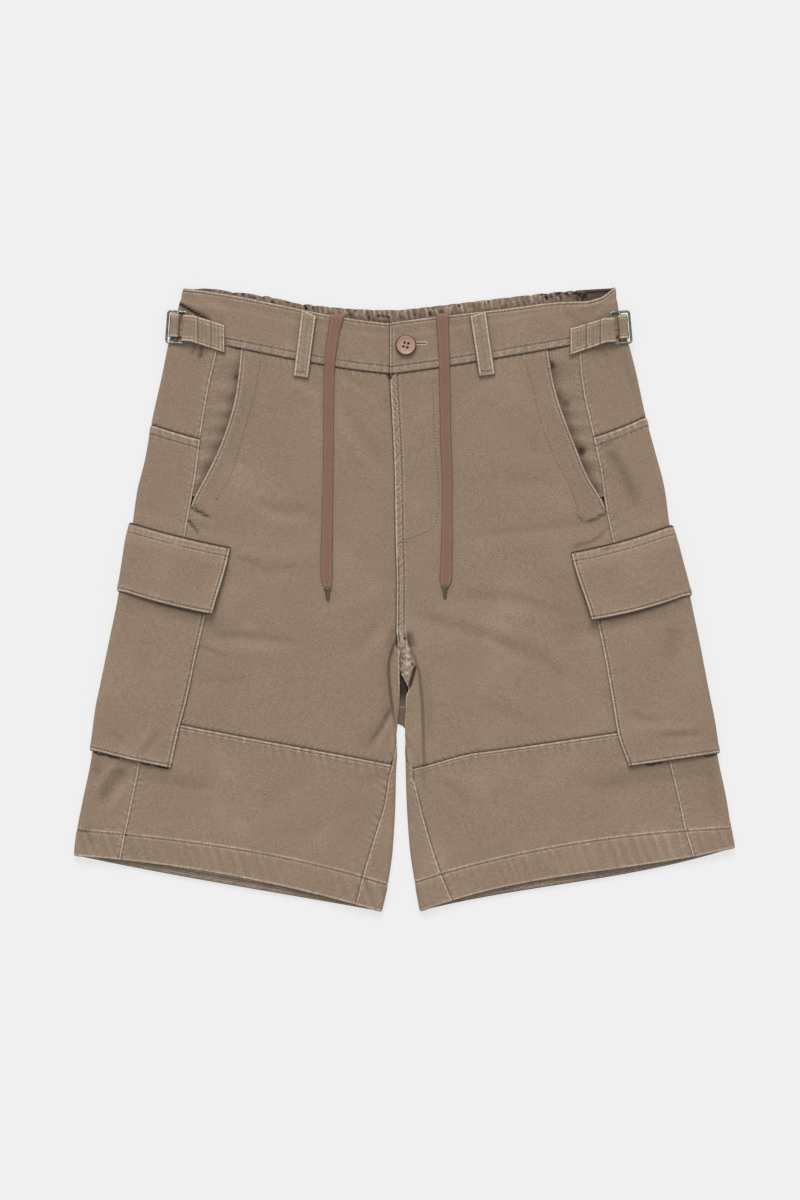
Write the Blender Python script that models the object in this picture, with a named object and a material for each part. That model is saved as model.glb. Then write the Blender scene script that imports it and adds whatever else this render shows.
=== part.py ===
"""Cargo shorts laid flat on their back, front upward.

X runs to the right, Y to the waist and Z up, and the underside lies on z = 0.
Every cloth piece is a slab between two offsets of one flattened loop: each leg
is a row of such loops, from the waist to the hem. A girth of 0 to 1 is the front,
from the centre to the outer edge, 1 to 2 the outer fold, 2 to 3 the underside, back
to the centre, and 3 to 4, or -1 to 0, the fold along the inside of the leg.
Tables and constants are in millimetres.
"""
import math

import bmesh
import bpy
import numpy as np

# ---------- driving dimensions ----------
CLOTH = 1.1             # wall of the legs
BAND = 1.7              # waistband, two layers
GAP = 0.3               # between pieces that meet
TRIM = 0.15             # half of that gap
OUTER_FOLD = 4.0        # half width of the fold along the outer edge
BAND_WRAP = 30.0        # front waistband behind the outer fold
GATHER_PITCH = 8.1      # elastic gathers of the back waistband
GATHER_HEIGHT = 0.7
POCKET_WIDTH = 160.0    # cargo pocket, front edge to back edge
FLAP_WIDTH = 170.0
FLAP_WALL = 1.6
BELLOWS = 1.0
BELLOWS_STRIP = 13.0
POCKET_TOP_DROP = 18.0  # pocket mouth below the flap's seam
FACING_UNDER = 10.0     # pocket facing under the front panel
LIFT_REACH = (92.0, 116.0)   # width of the strip that lies on the pocket layers
CORD_WALL = 1.2
BUTTON_RADIUS = 9.0

POCKET_OUT = GAP + BELLOWS + GAP
POCKET_FACE = POCKET_OUT + 1.0
FLAP_OUT = POCKET_FACE + GAP
FLAP_FACE = FLAP_OUT + FLAP_WALL

# ---------- rows of each leg, from the waist to the hem ----------
# outer, inner: where the row's front meets the outer edge and the centre or inside leg
# bend_in, bend_out: how far the row bows to the waist at a third and two thirds out
# back_x, back_y: the underside's inner end; back_in, back_out: its own bows
# height: loop height; fold: half width of the inside fold; seam: girth of the inside seam
# side, mouth, pocket, flap: X of the side seam, pocket mouth, pocket edge, flap edge
# fly: X of the right front's edge
COLUMNS = ("outer_x", "outer_y", "inner_x", "inner_y", "bend_in", "bend_out",
           "back_x", "back_y", "back_in", "back_out", "height", "fold", "seam",
           "side", "mouth", "pocket", "flap", "fly")

LEFT = {
    "band_top":  (-193.9, 271.6, -4.6, 240.8, -3.4, 2.0, -3.15, 252.9, -3.5, 0.0,
                  7.0, 0.0, 0.0, -161.0, -142.0, -140.0, -136.0, -12.6),
    "band_mid":  (-198.0, 252.0, -4.6, 219.6, -3.3, 1.3, -3.15, 231.0, -1.0, 0.0,
                  7.0, 0.0, 0.0, -162.0, -142.5, -141.0, -137.0, -12.6),
    "waist":     (-205.0, 230.8, -4.6, 197.4, -3.2, 0.6, -3.15, 207.0, 0.0, 1.0,
                  7.0, 0.0, 0.0, -163.5, -143.3, -142.0, -138.0, -12.6),
    "hip":       (-212.5, 195.8, -2.9, 162.6, -2.0, -1.0, -3.15, 170.0, 0.0, 0.0,
                  6.0, 0.0, 0.0, -171.2, -146.8, -145.0, -141.0, -10.9),
    "yoke":      (-222.3, 151.2, -0.5, 109.2, 0.0, -5.2, -3.15, 117.0, 0.0, 0.0,
                  5.0, 0.0, 0.0, -179.4, -161.0, -149.0, -144.0, -8.5),
    "mouth_low": (-227.2, 123.2, 0.0, 77.7, 0.0, -4.0, -3.15, 82.0, 0.0, 0.0,
                  5.0, 0.0, 0.0, -182.7, -173.2, -152.0, -147.0, -8.0),
    "mouth_end": (-234.4, 93.5, 0.5, 44.5, 0.0, -3.0, -3.15, 47.0, 0.0, 0.0,
                  5.0, 0.0, 0.0, -188.0, -186.8, -155.0, -149.5, -7.5),
    "flap_top":  (-238.2, 65.5, 1.5, 16.5, 0.0, -3.4, -3.15, 18.0, 0.0, 0.0,
                  5.0, 0.0, 0.0, -192.8, -192.8, -160.0, -152.5, -6.6),
    "flap_low":  (-247.2, 6.6, 1.1, -36.0, 0.0, -5.9, -3.15, -36.0, 0.0, 0.0,
                  5.0, 0.0, 0.0, -202.5, -202.5, -173.5, -167.9, -6.9),
    "crotch":    (-255.9, -36.0, -4.3, -62.0, 0.0, -5.0, -3.15, -62.0, 0.0, 0.0,
                  5.0, 8.0, -0.35, -211.2, -211.2, -182.0, -176.0, -6.0),
    "fork":      (-264.1, -76.3, -5.3, -107.8, 0.0, -3.0, -3.15, -107.8, 0.0, 0.0,
                  5.0, 5.0, -0.6, -219.0, -219.0, -190.5, -184.0, -5.0),
    "knee":      (-268.1, -95.6, -7.2, -147.2, 0.0, -1.4, -7.2, -147.2, 0.0, 0.0,
                  5.0, 3.5, 0.001, -223.5, -223.5, -196.4, -190.0, -5.0),
    "pocket_low": (-273.0, -132.3, -7.8, -176.0, 0.5, -4.2, -7.8, -176.0, 0.0, 0.0,
                   5.0, 3.0, 0.017, -231.5, -231.5, -204.4, -198.0, -5.0),
    "shin":      (-283.0, -181.7, -10.2, -219.8, 3.0, 1.5, -10.2, -219.8, 0.0, -0.5,
                  5.2, 3.0, 0.045, -240.5, -240.5, -212.0, -205.0, -5.0),
    "hem_stitch": (-286.9, -202.3, -14.6, -250.4, 5.6, 3.4, -14.6, -250.4, 0.0, -1.0,
                   6.0, 3.0, 0.057, -244.8, -244.8, -216.0, -209.0, -5.0),
    "hem":       (-289.7, -224.6, -20.0, -274.0, 4.3, 4.3, -20.0, -274.0, 0.0, -1.2,
                  6.0, 3.0, 0.059, -249.0, -249.0, -220.0, -213.0, -5.0),
}
RIGHT = {
    "band_top":  (185.0, 272.4, -12.6, 241.4, 0.0, -4.0, -2.85, 252.9, 0.0, 1.5,
                  7.0, 0.0, 0.0, 149.0, 123.0, 132.0, 128.0, -12.6),
    "band_mid":  (187.0, 251.8, -12.6, 219.6, -0.6, -2.0, -2.85, 231.0, 0.0, 1.0,
                  7.0, 0.0, 0.0, 151.0, 124.0, 133.0, 129.0, -12.6),
    "waist":     (194.2, 230.8, -12.6, 197.4, -1.2, 0.0, -2.85, 207.0, 0.0, 1.0,
                  7.0, 0.0, 0.0, 152.7, 125.5, 134.0, 130.0, -12.6),
    "hip":       (201.8, 203.7, -10.9, 162.6, -1.0, -3.0, -2.85, 170.0, 0.0, 0.0,
                  6.0, 0.0, 0.0, 155.5, 131.2, 136.0, 132.0, -10.9),
    "yoke":      (212.0, 157.8, -8.5, 109.2, 0.0, -8.3, -2.85, 117.0, 0.0, 0.0,
                  5.0, 0.0, 0.0, 166.2, 148.7, 140.0, 136.0, -8.5),
    "mouth_low": (219.5, 130.2, -8.0, 77.7, 0.0, -6.5, -2.85, 82.0, 0.0, 0.0,
                  5.0, 0.0, 0.0, 172.0, 159.0, 144.0, 139.0, -8.0),
    "mouth_end": (228.4, 95.2, -7.5, 44.5, 0.0, -5.0, -2.85, 47.0, 0.0, 0.0,
                  5.0, 0.0, 0.0, 177.0, 175.8, 149.0, 142.5, -7.5),
    "flap_top":  (232.6, 63.4, -6.6, 16.5, 0.0, -6.2, -2.85, 18.0, 0.0, 0.0,
                  5.0, 0.0, 0.0, 183.5, 183.5, 153.5, 146.1, -6.6),
    "flap_low":  (247.3, 2.9, -6.9, -36.0, 0.0, -8.2, -2.85, -36.0, 0.0, 0.0,
                  5.0, 0.0, 0.0, 196.5, 196.5, 168.0, 163.5, -6.9),
    "crotch":    (255.6, -36.0, -1.2, -60.6, 0.0, -6.0, -2.85, -60.6, 0.0, 0.0,
                  5.0, 9.0, -0.35, 206.5, 206.5, 175.0, 170.0, -6.0),
    "fork":      (265.3, -86.3, 1.3, -107.8, 0.0, -3.0, -2.85, -107.8, 0.0, 0.0,
                  5.0, 9.0, -0.6, 219.5, 219.5, 183.0, 178.0, -5.0),
    "knee":      (269.3, -106.0, 0.8, -142.8, -1.8, 0.0, 0.8, -142.8, 0.0, 0.0,
                  5.0, 7.0, -0.046, 224.7, 224.7, 186.6, 182.0, -5.0),
    "pocket_low": (273.7, -134.5, 1.7, -171.7, 0.5, -1.0, 1.7, -171.7, 0.0, 0.0,
                   5.0, 5.0, 0.013, 231.9, 231.9, 196.0, 190.0, -5.0),
    "shin":      (281.8, -172.6, 4.4, -215.4, 4.0, 2.5, 4.4, -215.4, 1.0, -2.0,
                  5.2, 4.0, 0.051, 240.8, 240.8, 203.0, 197.0, -5.0),
    "hem_stitch": (286.4, -200.6, 9.0, -248.0, 6.0, 5.0, 9.0, -248.0, 2.0, -4.0,
                   6.0, 3.5, 0.073, 246.5, 246.5, 207.0, 201.0, -5.0),
    "hem":       (289.6, -218.1, 13.8, -273.5, 7.0, -1.5, 13.8, -273.5, 2.0, -4.7,
                  6.0, 3.5, 0.092, 253.2, 253.2, 211.0, 205.0, -5.0),
}
TABLES = {"left": LEFT, "right": RIGHT}
SIGN = {"left": -1.0, "right": 1.0}

# ---------- the largest creases of the front: a trough is negative ----------
# from_x, from_y, to_x, to_y, half width, height
CREASES = (
    (-249.0, -155.0, -267.0, -187.0, 7.0, -1.2),
    (-186.0, 78.0, -168.0, 69.0, 5.0, -0.7),
    (-60.0, -20.0, -18.0, -52.0, 9.0, 0.7),
    (64.0, -12.0, 20.0, -50.0, 10.0, 0.7),
    (-42.0, -72.0, -16.0, -60.0, 6.0, -0.7),
    (22.0, -66.0, 23.0, -130.0, 7.0, 0.7),
    (-150.0, 20.0, -112.0, 2.0, 9.0, 0.6),
    (118.0, 6.0, 150.0, 24.0, 9.0, 0.6),
)

MATERIALS = {
    "cloth": ((0.30, 0.22, 0.155), 0.0, 0.9),
    "cord": ((0.26, 0.15, 0.115), 0.0, 0.85),
    "metal": ((0.30, 0.31, 0.30), 1.0, 0.42),
    "plastic": ((0.50, 0.30, 0.22), 0.0, 0.45),
}


# ---------- tables and curves ----------
def smooth(value):
    """0 below 0, 1 above 1, and a soft step between."""
    value = np.clip(value, 0.0, 1.0)
    return value * value * (3.0 - 2.0 * value)


def through(knots, values, at):
    """A smooth curve through the knots that never overshoots them."""
    knots = np.asarray(knots, float)
    values = np.asarray(values, float)
    steps = np.diff(knots)
    slopes = np.diff(values) / steps
    bends = np.zeros(len(knots))
    bends[0] = slopes[0]
    bends[-1] = slopes[-1]
    same = slopes[:-1] * slopes[1:] > 0
    heavy = 2.0 * steps[1:] + steps[:-1]
    light = steps[1:] + 2.0 * steps[:-1]
    safe = np.where(same, slopes[:-1] * slopes[1:], 1.0)
    mean = (heavy + light) * safe / (heavy * slopes[1:] + light * slopes[:-1] + 1e-12)
    bends[1:-1] = np.where(same, mean, 0.0)
    at = np.clip(at, knots[0], knots[-1])
    i = np.clip(np.searchsorted(knots, at, side="right") - 1, 0, len(steps) - 1)
    h = steps[i]
    u = (at - knots[i]) / h
    return (values[i] * (1 + 2 * u) * (1 - u) ** 2
            + bends[i] * h * u * (1 - u) ** 2
            + values[i + 1] * u * u * (3 - 2 * u)
            + bends[i + 1] * h * u * u * (u - 1))


def distances(table):
    """How far down the outer edge each row is, by its name."""
    rows = list(table)
    found = {rows[0]: 0.0}
    for above, below in zip(rows, rows[1:]):
        step = math.hypot(table[below][0] - table[above][0], table[below][1] - table[above][1])
        found[below] = found[above] + step
    return found


AT = {name: distances(table) for name, table in TABLES.items()}


def column(side, name, t):
    place = COLUMNS.index(name)
    values = [row[place] for row in TABLES[side].values()]
    return through(list(AT[side].values()), values, t)


def lift(side, t):
    """How far the cargo pocket's layers under the leg raise it, along the outer edge."""
    at = AT[side]
    knots = (at["flap_top"] - 14, at["flap_top"], at["flap_top"] + POCKET_TOP_DROP,
             at["flap_low"], at["flap_low"] + 15, at["pocket_low"], at["pocket_low"] + 18)
    values = (0.0, GAP + FLAP_WALL, FLAP_FACE, FLAP_FACE, POCKET_FACE, POCKET_FACE, 0.0)
    return through(knots, values, t)


def crease_height(x, y):
    total = np.zeros(np.broadcast(x, y).shape)
    for ax, ay, bx, by, width, height in CREASES:
        length = math.hypot(bx - ax, by - ay)
        ux, uy = (bx - ax) / length, (by - ay) / length
        along = (x - ax) * ux + (y - ay) * uy
        past = np.maximum(0.0, np.maximum(-along, along - length))
        aside = (x - ax) * -uy + (y - ay) * ux
        total += height * np.exp(-(aside ** 2 + past ** 2) / width ** 2)
    return total


# ---------- the flattened loop ----------
def frame_of(side, t):
    """The plan of a row: its fold centres, outward direction and lengths."""
    outer = np.stack([column(side, "outer_x", t), column(side, "outer_y", t)], -1)
    inner = np.stack([column(side, "inner_x", t), column(side, "inner_y", t)], -1)
    back = np.stack([column(side, "back_x", t), column(side, "back_y", t)], -1)
    way = outer - inner
    way /= np.linalg.norm(way, axis=-1, keepdims=True)
    fold = column(side, "fold", t)
    forked = smooth((t - AT[side]["fork"]) / 8.0)
    return {
        "way": way,
        "front_in": inner + way * fold[..., None],
        "front_out": outer - way * OUTER_FOLD,
        "back_in": back + way * (fold * forked)[..., None],
        "fold": fold,
        "back_fold": fold * forked,
        "outer_x": outer[..., 0],
        "inner": inner,
    }


def bump(s, first, second):
    return 6.75 * s * (1 - s) * (first * (1 - s) + second * s)


def front_share(side, t, x):
    """Where on a row's front an X lies, 0 at the inside fold and 1 at the outer one."""
    row = frame_of(side, t)
    start = row["front_in"][..., 0]
    return (x - start) / (row["front_out"][..., 0] - start)


def back_length(side, t):
    row = frame_of(side, t)
    return np.linalg.norm(row["front_out"] - row["back_in"], axis=-1)


def front_length(side, t):
    row = frame_of(side, t)
    return np.linalg.norm(row["front_out"] - row["front_in"], axis=-1)


def ring(side, t, girth, out, drop=None):
    """Points of the loop at row t and a girth, moved outward by out."""
    t, girth, out = np.broadcast_arrays(np.asarray(t, float), girth, out)
    row = frame_of(side, t)
    height = column(side, "height", t)
    raised = lift(side, t)
    s = np.clip(girth, 0.0, 1.0)
    plan = row["front_in"] + (row["front_out"] - row["front_in"]) * s[..., None]
    bow = bump(s, column(side, "bend_in", t), column(side, "bend_out", t))
    front = plan + np.stack([np.zeros_like(bow), bow], -1)
    length = np.linalg.norm(row["front_out"] - row["front_in"], axis=-1)
    fade = smooth(s * length / 10.0) * smooth((1 - s) * length / 10.0)
    under = 1.0 - smooth((np.abs(row["outer_x"] - front[..., 0]) - LIFT_REACH[0])
                         / (LIFT_REACH[1] - LIFT_REACH[0]))
    top = height + raised * under + crease_height(front[..., 0], front[..., 1]) * fade
    if drop is not None:
        top = top - drop(side, t, front[..., 0])
    points = np.concatenate([front, (top + out)[..., None]], -1)

    turn = np.pi / 2 - (np.clip(girth, 1.0, 2.0) - 1.0) * np.pi
    rim = row["front_out"] + row["way"] * ((OUTER_FOLD + out) * np.cos(turn))[..., None]
    rim_z = raised + height / 2 + (height / 2 + out) * np.sin(turn)
    points = np.where((girth > 1)[..., None], np.concatenate([rim, rim_z[..., None]], -1), points)

    b = np.clip(3.0 - girth, 0.0, 1.0)
    plan = row["back_in"] + (row["front_out"] - row["back_in"]) * b[..., None]
    bow = bump(b, column(side, "back_in", t), column(side, "back_out", t))
    back = plan + np.stack([np.zeros_like(bow), bow], -1)
    under = 1.0 - smooth((np.abs(row["outer_x"] - back[..., 0]) - LIFT_REACH[0])
                         / (LIFT_REACH[1] - LIFT_REACH[0]))
    low = np.concatenate([back, (raised * under - out)[..., None]], -1)
    points = np.where((girth >= 2)[..., None], low, points)

    inside = np.where(girth > 3, girth - 4.0, girth)
    turn = np.pi / 2 - np.clip(inside, -1.0, 0.0) * np.pi
    centre = np.where((girth > 3)[..., None], row["back_in"], row["front_in"])
    half = np.where(girth > 3, row["back_fold"], row["fold"])
    rim = centre + row["way"] * ((half + out) * np.cos(turn))[..., None]
    rim_z = height / 2 + (height / 2 + out) * np.sin(turn)
    if drop is not None:
        rim_z = rim_z - np.where(girth < 0, drop(side, t, row["front_in"][..., 0]), 0.0)
    points = np.where(((girth < 0) | ((girth > 3) & (girth < 4)))[..., None],
                      np.concatenate([rim, rim_z[..., None]], -1), points)
    again = girth >= 4
    if again.any():
        over = ring(side, t, np.where(again, girth - 4.0, 0.0), out, drop)
        points = np.where(again[..., None], over, points)
    return points


def row_at(side, x, y):
    """The row through a point of the front, by halving."""
    low = np.zeros(np.shape(x))
    high = np.full(np.shape(x), AT[side]["hem"])
    for _ in range(30):
        middle = (low + high) / 2
        s = np.clip(front_share(side, middle, x), 0.0, 1.0)
        above = ring(side, middle, s, 0.0)[..., 1] > y
        low = np.where(above, middle, low)
        high = np.where(above, high, middle)
    return (low + high) / 2


def on_front(side, x, y, out):
    """A point above the front, out millimetres off its face."""
    x, y, out = np.broadcast_arrays(np.asarray(x, float), y, out)
    t = row_at(side, x, y)
    s = np.clip(front_share(side, t, x), 0.0, 1.0)
    z = ring(side, t, s, 0.0)[..., 2] + out
    return np.stack([x, y, z], -1)


# ---------- bodies ----------
def material(name):
    if name in bpy.data.materials:
        return bpy.data.materials[name]
    colour, metal, rough = MATERIALS[name]
    made = bpy.data.materials.new(name)
    made.use_nodes = True
    shader = made.node_tree.nodes["Principled BSDF"]
    shader.inputs["Base Color"].default_value = (*colour, 1.0)
    shader.inputs["Metallic"].default_value = metal
    shader.inputs["Roughness"].default_value = rough
    return made


def body(name, points, faces, slot):
    """One closed solid, with its faces turned outward."""
    mesh = bpy.data.meshes.new(name)
    mesh.from_pydata((np.asarray(points) * 0.001).tolist(), [], faces)
    work = bmesh.new()
    work.from_mesh(mesh)
    bmesh.ops.recalc_face_normals(work, faces=work.faces)
    if work.calc_volume(signed=True) < 0:
        bmesh.ops.reverse_faces(work, faces=work.faces)
    work.to_mesh(mesh)
    work.free()
    mesh.materials.append(material(slot))
    made = bpy.data.objects.new(name, mesh)
    bpy.context.collection.objects.link(made)
    return made


def slab(name, face, lining, slot="cloth", mask=None, round_girth=False):
    """A closed body between two grids of points, with walls round every open edge."""
    rows, columns = face.shape[:2]
    count = rows * columns
    last = columns if round_girth else columns - 1
    faces = []
    edges = {}
    for r in range(rows - 1):
        for c in range(last):
            if mask is not None and not mask[r][c]:
                continue
            n = (c + 1) % columns
            corners = [r * columns + c, r * columns + n,
                       (r + 1) * columns + n, (r + 1) * columns + c]
            faces.append(corners)
            faces.append([k + count for k in reversed(corners)])
            for a, b in zip(corners, corners[1:] + corners[:1]):
                edges[(a, b)] = True
    for a, b in edges:
        if (b, a) not in edges:
            faces.append([b, a, a + count, b + count])
    points = np.concatenate([face.reshape(-1, 3), lining.reshape(-1, 3)])
    used = sorted({k for f in faces for k in f})
    renumber = {old: new for new, old in enumerate(used)}
    faces = [[renumber[k] for k in f] for f in faces]
    return body(name, points[used], faces, slot)


def panel(name, side, t, girth, out, wall, drop=None, slot="cloth", mask=None, round_girth=False):
    """A slab that follows the loop: its face is at out and it is wall thick."""
    t = np.broadcast_to(t[:, None], girth.shape)
    face = ring(side, t, girth, out, drop)
    lining = ring(side, t, girth, out - wall, drop)
    return slab(name, face, lining, slot, mask, round_girth)


def steps(keys, pitch):
    """Values from the first key to the last, through each, about a pitch apart."""
    found = [keys[0]]
    for a, b in zip(keys, keys[1:]):
        count = max(1, math.ceil(abs(b - a) / pitch - 0.3))
        found += [a + (b - a) * k / count for k in range(1, count + 1)]
    return np.array(found)


def rows_between(side, start, stop):
    """The rows that all pieces share, from start to stop, so that their edges match."""
    at = AT[side]
    shared = steps([0.0, at["band_mid"], at["waist"], at["hip"], at["yoke"], at["mouth_low"], at["mouth_end"],
                    at["flap_top"] - 14, at["flap_top"], at["flap_top"] + 9,
                    at["flap_top"] + POCKET_TOP_DROP, at["flap_low"], at["flap_low"] + 15,
                    at["fork"], at["fork"] + 8, at["knee"], at["pocket_low"],
                    at["pocket_low"] + 18, at["hem_stitch"], at["hem"]], 20.0)
    inside = shared[(shared > start + 1) & (shared < stop - 1)]
    return np.concatenate([[start], inside, [stop]])


def spans(*parts):
    """Girths of each row: every part runs from one value to the next in some steps."""
    found = [parts[0][0][:, None]]
    for start, end, count in parts:
        share = np.linspace(0, 1, count + 1)[1:]
        found.append(start[:, None] + (end - start)[:, None] * share)
    return np.concatenate(found, 1)


def under_girth(side, t, distance):
    """Girth of a point of the underside, by its distance from the outer fold."""
    return 2.0 + distance / back_length(side, t)


# ---------- layers that lie lower ----------
def fly_drop(side, t, x):
    """The left side lies under the right one at the fly."""
    if side == "right":
        return np.zeros(np.shape(x))
    wall = BAND + (CLOTH - BAND) * smooth((t - AT[side]["waist"] - 3.0) / 15.0)
    near = smooth((x - column(side, "fly", t) + 14.0) / 10.0)
    return (wall + 0.35) * near * (1.0 - smooth((t - AT[side]["crotch"]) / 20.0))


def facing_drop(side, t, x):
    """A pocket facing goes down from the side seam to pass under the front panel."""
    seam = column(side, "side", t)
    mouth = column(side, "mouth", t)
    return (CLOTH + 0.35) * smooth((seam - x) / (seam - mouth))


def seam_trim(seam):
    """Half the gap at the inside seam, as a girth: on the fold one girth is far shorter."""
    return np.where(seam > 0.009, TRIM / 260.0, TRIM / 15.0)


# ---------- pieces ----------
def front_panels(side):
    at = AT[side]
    sign = SIGN[side]
    t = rows_between(side, at["waist"] + TRIM, at["knee"] - TRIM)
    seam = column(side, "seam", t)
    start = np.where(t > at["crotch"] - 20, seam + seam_trim(seam), 0.0)
    edge = np.where(t < at["mouth_end"], column(side, "mouth", t), column(side, "side", t))
    end = front_share(side, t, edge - sign * TRIM)
    far = front_share(side, t, column(side, "outer_x", t) - sign * LIFT_REACH[1])
    girth = spans((start, start * 0 + 0.03, 3), (start * 0 + 0.03, far, 5), (far, end, 3))
    panel("front_" + side, side, t, girth, 0.0, CLOTH, fly_drop)

    t = rows_between(side, at["knee"] + TRIM, at["hem"])
    start = column(side, "seam", t)
    start = start + seam_trim(start)
    end = front_share(side, t, column(side, "side", t) - sign * TRIM)
    far = front_share(side, t, column(side, "outer_x", t) - sign * LIFT_REACH[1])
    girth = spans((start, start + 0.004, 1), (start + 0.004, start * 0 + 0.12, 2),
                  (start * 0 + 0.12, far, 5), (far, end, 3))
    panel("lower_front_" + side, side, t, girth, 0.0, CLOTH)


def back_panels(side):
    at = AT[side]
    sign = SIGN[side]
    for name, above, below in (("yoke_", at["waist"] + TRIM, at["yoke"] - TRIM),
                               ("back_", at["yoke"] + TRIM, at["hem"])):
        t = rows_between(side, above, below)
        start = front_share(side, t, column(side, "side", t) + sign * TRIM)
        forked = smooth((t - at["fork"]) / 8.0)
        seam = column(side, "seam", t)
        turned = 3.0 + forked * (1.0 + seam - seam_trim(seam))
        turned = np.where(forked > 0, turned, 3.0)
        near = 3.0 - (1.0 - forked) * 0.06
        corner = np.where(forked > 0, np.minimum(4.0, turned - 0.003), 2.99)
        girth = spans((start, t * 0 + 1.0, 3), (t * 0 + 1.0, t * 0 + 2.0, 6),
                      (t * 0 + 2.0, under_girth(side, t, LIFT_REACH[0] - OUTER_FOLD), 2),
                      (under_girth(side, t, LIFT_REACH[0] - OUTER_FOLD),
                       under_girth(side, t, LIFT_REACH[1] - OUTER_FOLD), 2),
                      (under_girth(side, t, LIFT_REACH[1] - OUTER_FOLD), near, 2),
                      (near, corner, 5), (corner, turned, 1))
        panel(name + side, side, t, girth, 0.0, CLOTH)


def facings(side):
    at = AT[side]
    sign = SIGN[side]
    low = 0.4 * at["mouth_low"] + 0.6 * at["mouth_end"]
    t = rows_between(side, at["waist"] + TRIM, low)
    start = front_share(side, t, column(side, "mouth", t) - sign * FACING_UNDER)
    end = front_share(side, t, column(side, "side", t) - sign * TRIM)
    girth = spans((start, end, 5))
    panel("pocket_facing_" + side, side, t, girth, 0.0, CLOTH, facing_drop)


def front_band(side):
    at = AT[side]
    t = steps([0.0, at["band_mid"], at["waist"] - TRIM], 12.0)
    zero = t * 0
    girth = spans((zero, zero + 0.06, 3), (zero + 0.06, zero + 1.0, 9),
                  (zero + 1.0, zero + 2.0, 8), (zero + 2.0, under_girth(side, t, BAND_WRAP), 2))
    panel("waistband_" + side, side, t, girth, 0.0, BAND, fly_drop)


def back_band():
    """Gathered along its inner face and top edge, flat underneath."""
    faces = []
    linings = []
    for side in ("left", "right"):
        t = np.array([0.0, AT[side]["band_mid"], AT[side]["waist"] - TRIM])
        reach = back_length(side, t[:1])[0]
        count = math.ceil((reach - BAND_WRAP) / (GATHER_PITCH / 4.0))
        share = np.linspace(0.0, 1.0, count + 1)
        from_fold = BAND_WRAP + GAP + share * (reach - BAND_WRAP - GAP)
        girth = 2.0 + np.broadcast_to(from_fold / reach, (len(t), count + 1))
        rows = np.broadcast_to(t[:, None], girth.shape)
        wave = 0.5 + 0.5 * np.cos(2 * np.pi * np.arange(count + 1) / 4.0)
        wave = wave * smooth((from_fold - BAND_WRAP) / 12.0)
        face = ring(side, rows, girth, 0.0)
        lining = ring(side, rows, girth, -BAND - GATHER_HEIGHT * wave)
        top = 0.9 * wave
        face[0, :, 1] += top
        lining[0, :, 1] += top
        if side == "right":
            face = face[:, ::-1][:, 1:]
            lining = lining[:, ::-1][:, 1:]
        faces.append(face)
        linings.append(lining)
    slab("waistband_back", np.concatenate(faces, 1), np.concatenate(linings, 1))


def hems(side):
    at = AT[side]
    t = np.array([at["hem_stitch"] + 1.0, (at["hem_stitch"] + at["hem"]) / 2, at["hem"] - 0.6])
    zero = t * 0
    girth = spans((zero, zero + 1.0, 11), (zero + 1.0, zero + 2.0, 7),
                  (zero + 2.0, zero + 3.0, 11), (zero + 3.0, zero + 3.999, 7))[:, :-1]
    panel("hem_" + side, side, t, girth, -CLOTH - GAP, CLOTH, round_girth=True)


def cargo_pocket(side):
    at = AT[side]
    sign = SIGN[side]
    t = rows_between(side, at["flap_top"] + POCKET_TOP_DROP, at["pocket_low"])
    start = front_share(side, t, column(side, "pocket", t))
    shown = np.abs(column(side, "outer_x", t) - column(side, "pocket", t))
    far = under_girth(side, t, POCKET_WIDTH - shown - OUTER_FOLD)
    girth = spans((start, t * 0 + 1.0, 4), (t * 0 + 1.0, t * 0 + 2.0, 6), (t * 0 + 2.0, far, 3))
    panel("cargo_pocket_" + side, side, t, girth, POCKET_FACE, POCKET_FACE - POCKET_OUT)

    inset = 3.0
    strip = inset + BELLOWS_STRIP
    t = np.concatenate([t[t < at["pocket_low"] - strip - 2],
                        [at["pocket_low"] - strip, at["pocket_low"] - inset]])
    first = front_share(side, t, column(side, "pocket", t) + sign * inset)
    second = front_share(side, t, column(side, "pocket", t) + sign * strip)
    shown = np.abs(column(side, "outer_x", t) - column(side, "pocket", t))
    last = under_girth(side, t, POCKET_WIDTH - shown - OUTER_FOLD - inset)
    before = under_girth(side, t, POCKET_WIDTH - shown - OUTER_FOLD - strip)
    girth = spans((first, second, 1), (second, t * 0 + 1.0, 3), (t * 0 + 1.0, t * 0 + 2.0, 6),
                  (t * 0 + 2.0, before, 3), (before, last, 1))
    cells = girth.shape[1] - 1
    mask = [[c in (0, cells - 1) or k > at["pocket_low"] - strip - 0.1 for c in range(cells)]
            for k in t[:-1]]
    panel("bellows_" + side, side, t, girth, GAP + BELLOWS, BELLOWS, mask=mask)


def pocket_flap(side):
    at = AT[side]
    t = rows_between(side, at["flap_top"], at["flap_low"])
    start = front_share(side, t, column(side, "flap", t))
    shown = np.abs(column(side, "outer_x", t) - column(side, "flap", t))
    far = under_girth(side, t, FLAP_WIDTH - shown - OUTER_FOLD)
    girth = spans((start, t * 0 + 1.0, 4), (t * 0 + 1.0, t * 0 + 2.0, 6), (t * 0 + 2.0, far, 3))
    rise = smooth((t - at["flap_top"]) / POCKET_TOP_DROP)
    face = GAP + FLAP_WALL + (FLAP_FACE - GAP - FLAP_WALL) * rise
    panel("flap_" + side, side, t, girth, face[:, None], FLAP_WALL)


# ---------- strips that lie on the front ----------
def strip(name, face, wall, slot="cloth", ends=None):
    """A body of one wall along a centre line: face holds its rows of points."""
    lining = face.copy()
    across = face[:, -1] - face[:, 0]
    along = np.gradient(face.mean(axis=1), axis=0)
    away = np.cross(along, across)
    away /= np.linalg.norm(away, axis=1, keepdims=True)
    away *= np.where(ends is None, np.sign(away[len(away) // 2, 2]), 1.0)
    lining -= (away * wall)[:, None, :]
    return slab(name, face, lining, slot)


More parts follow.
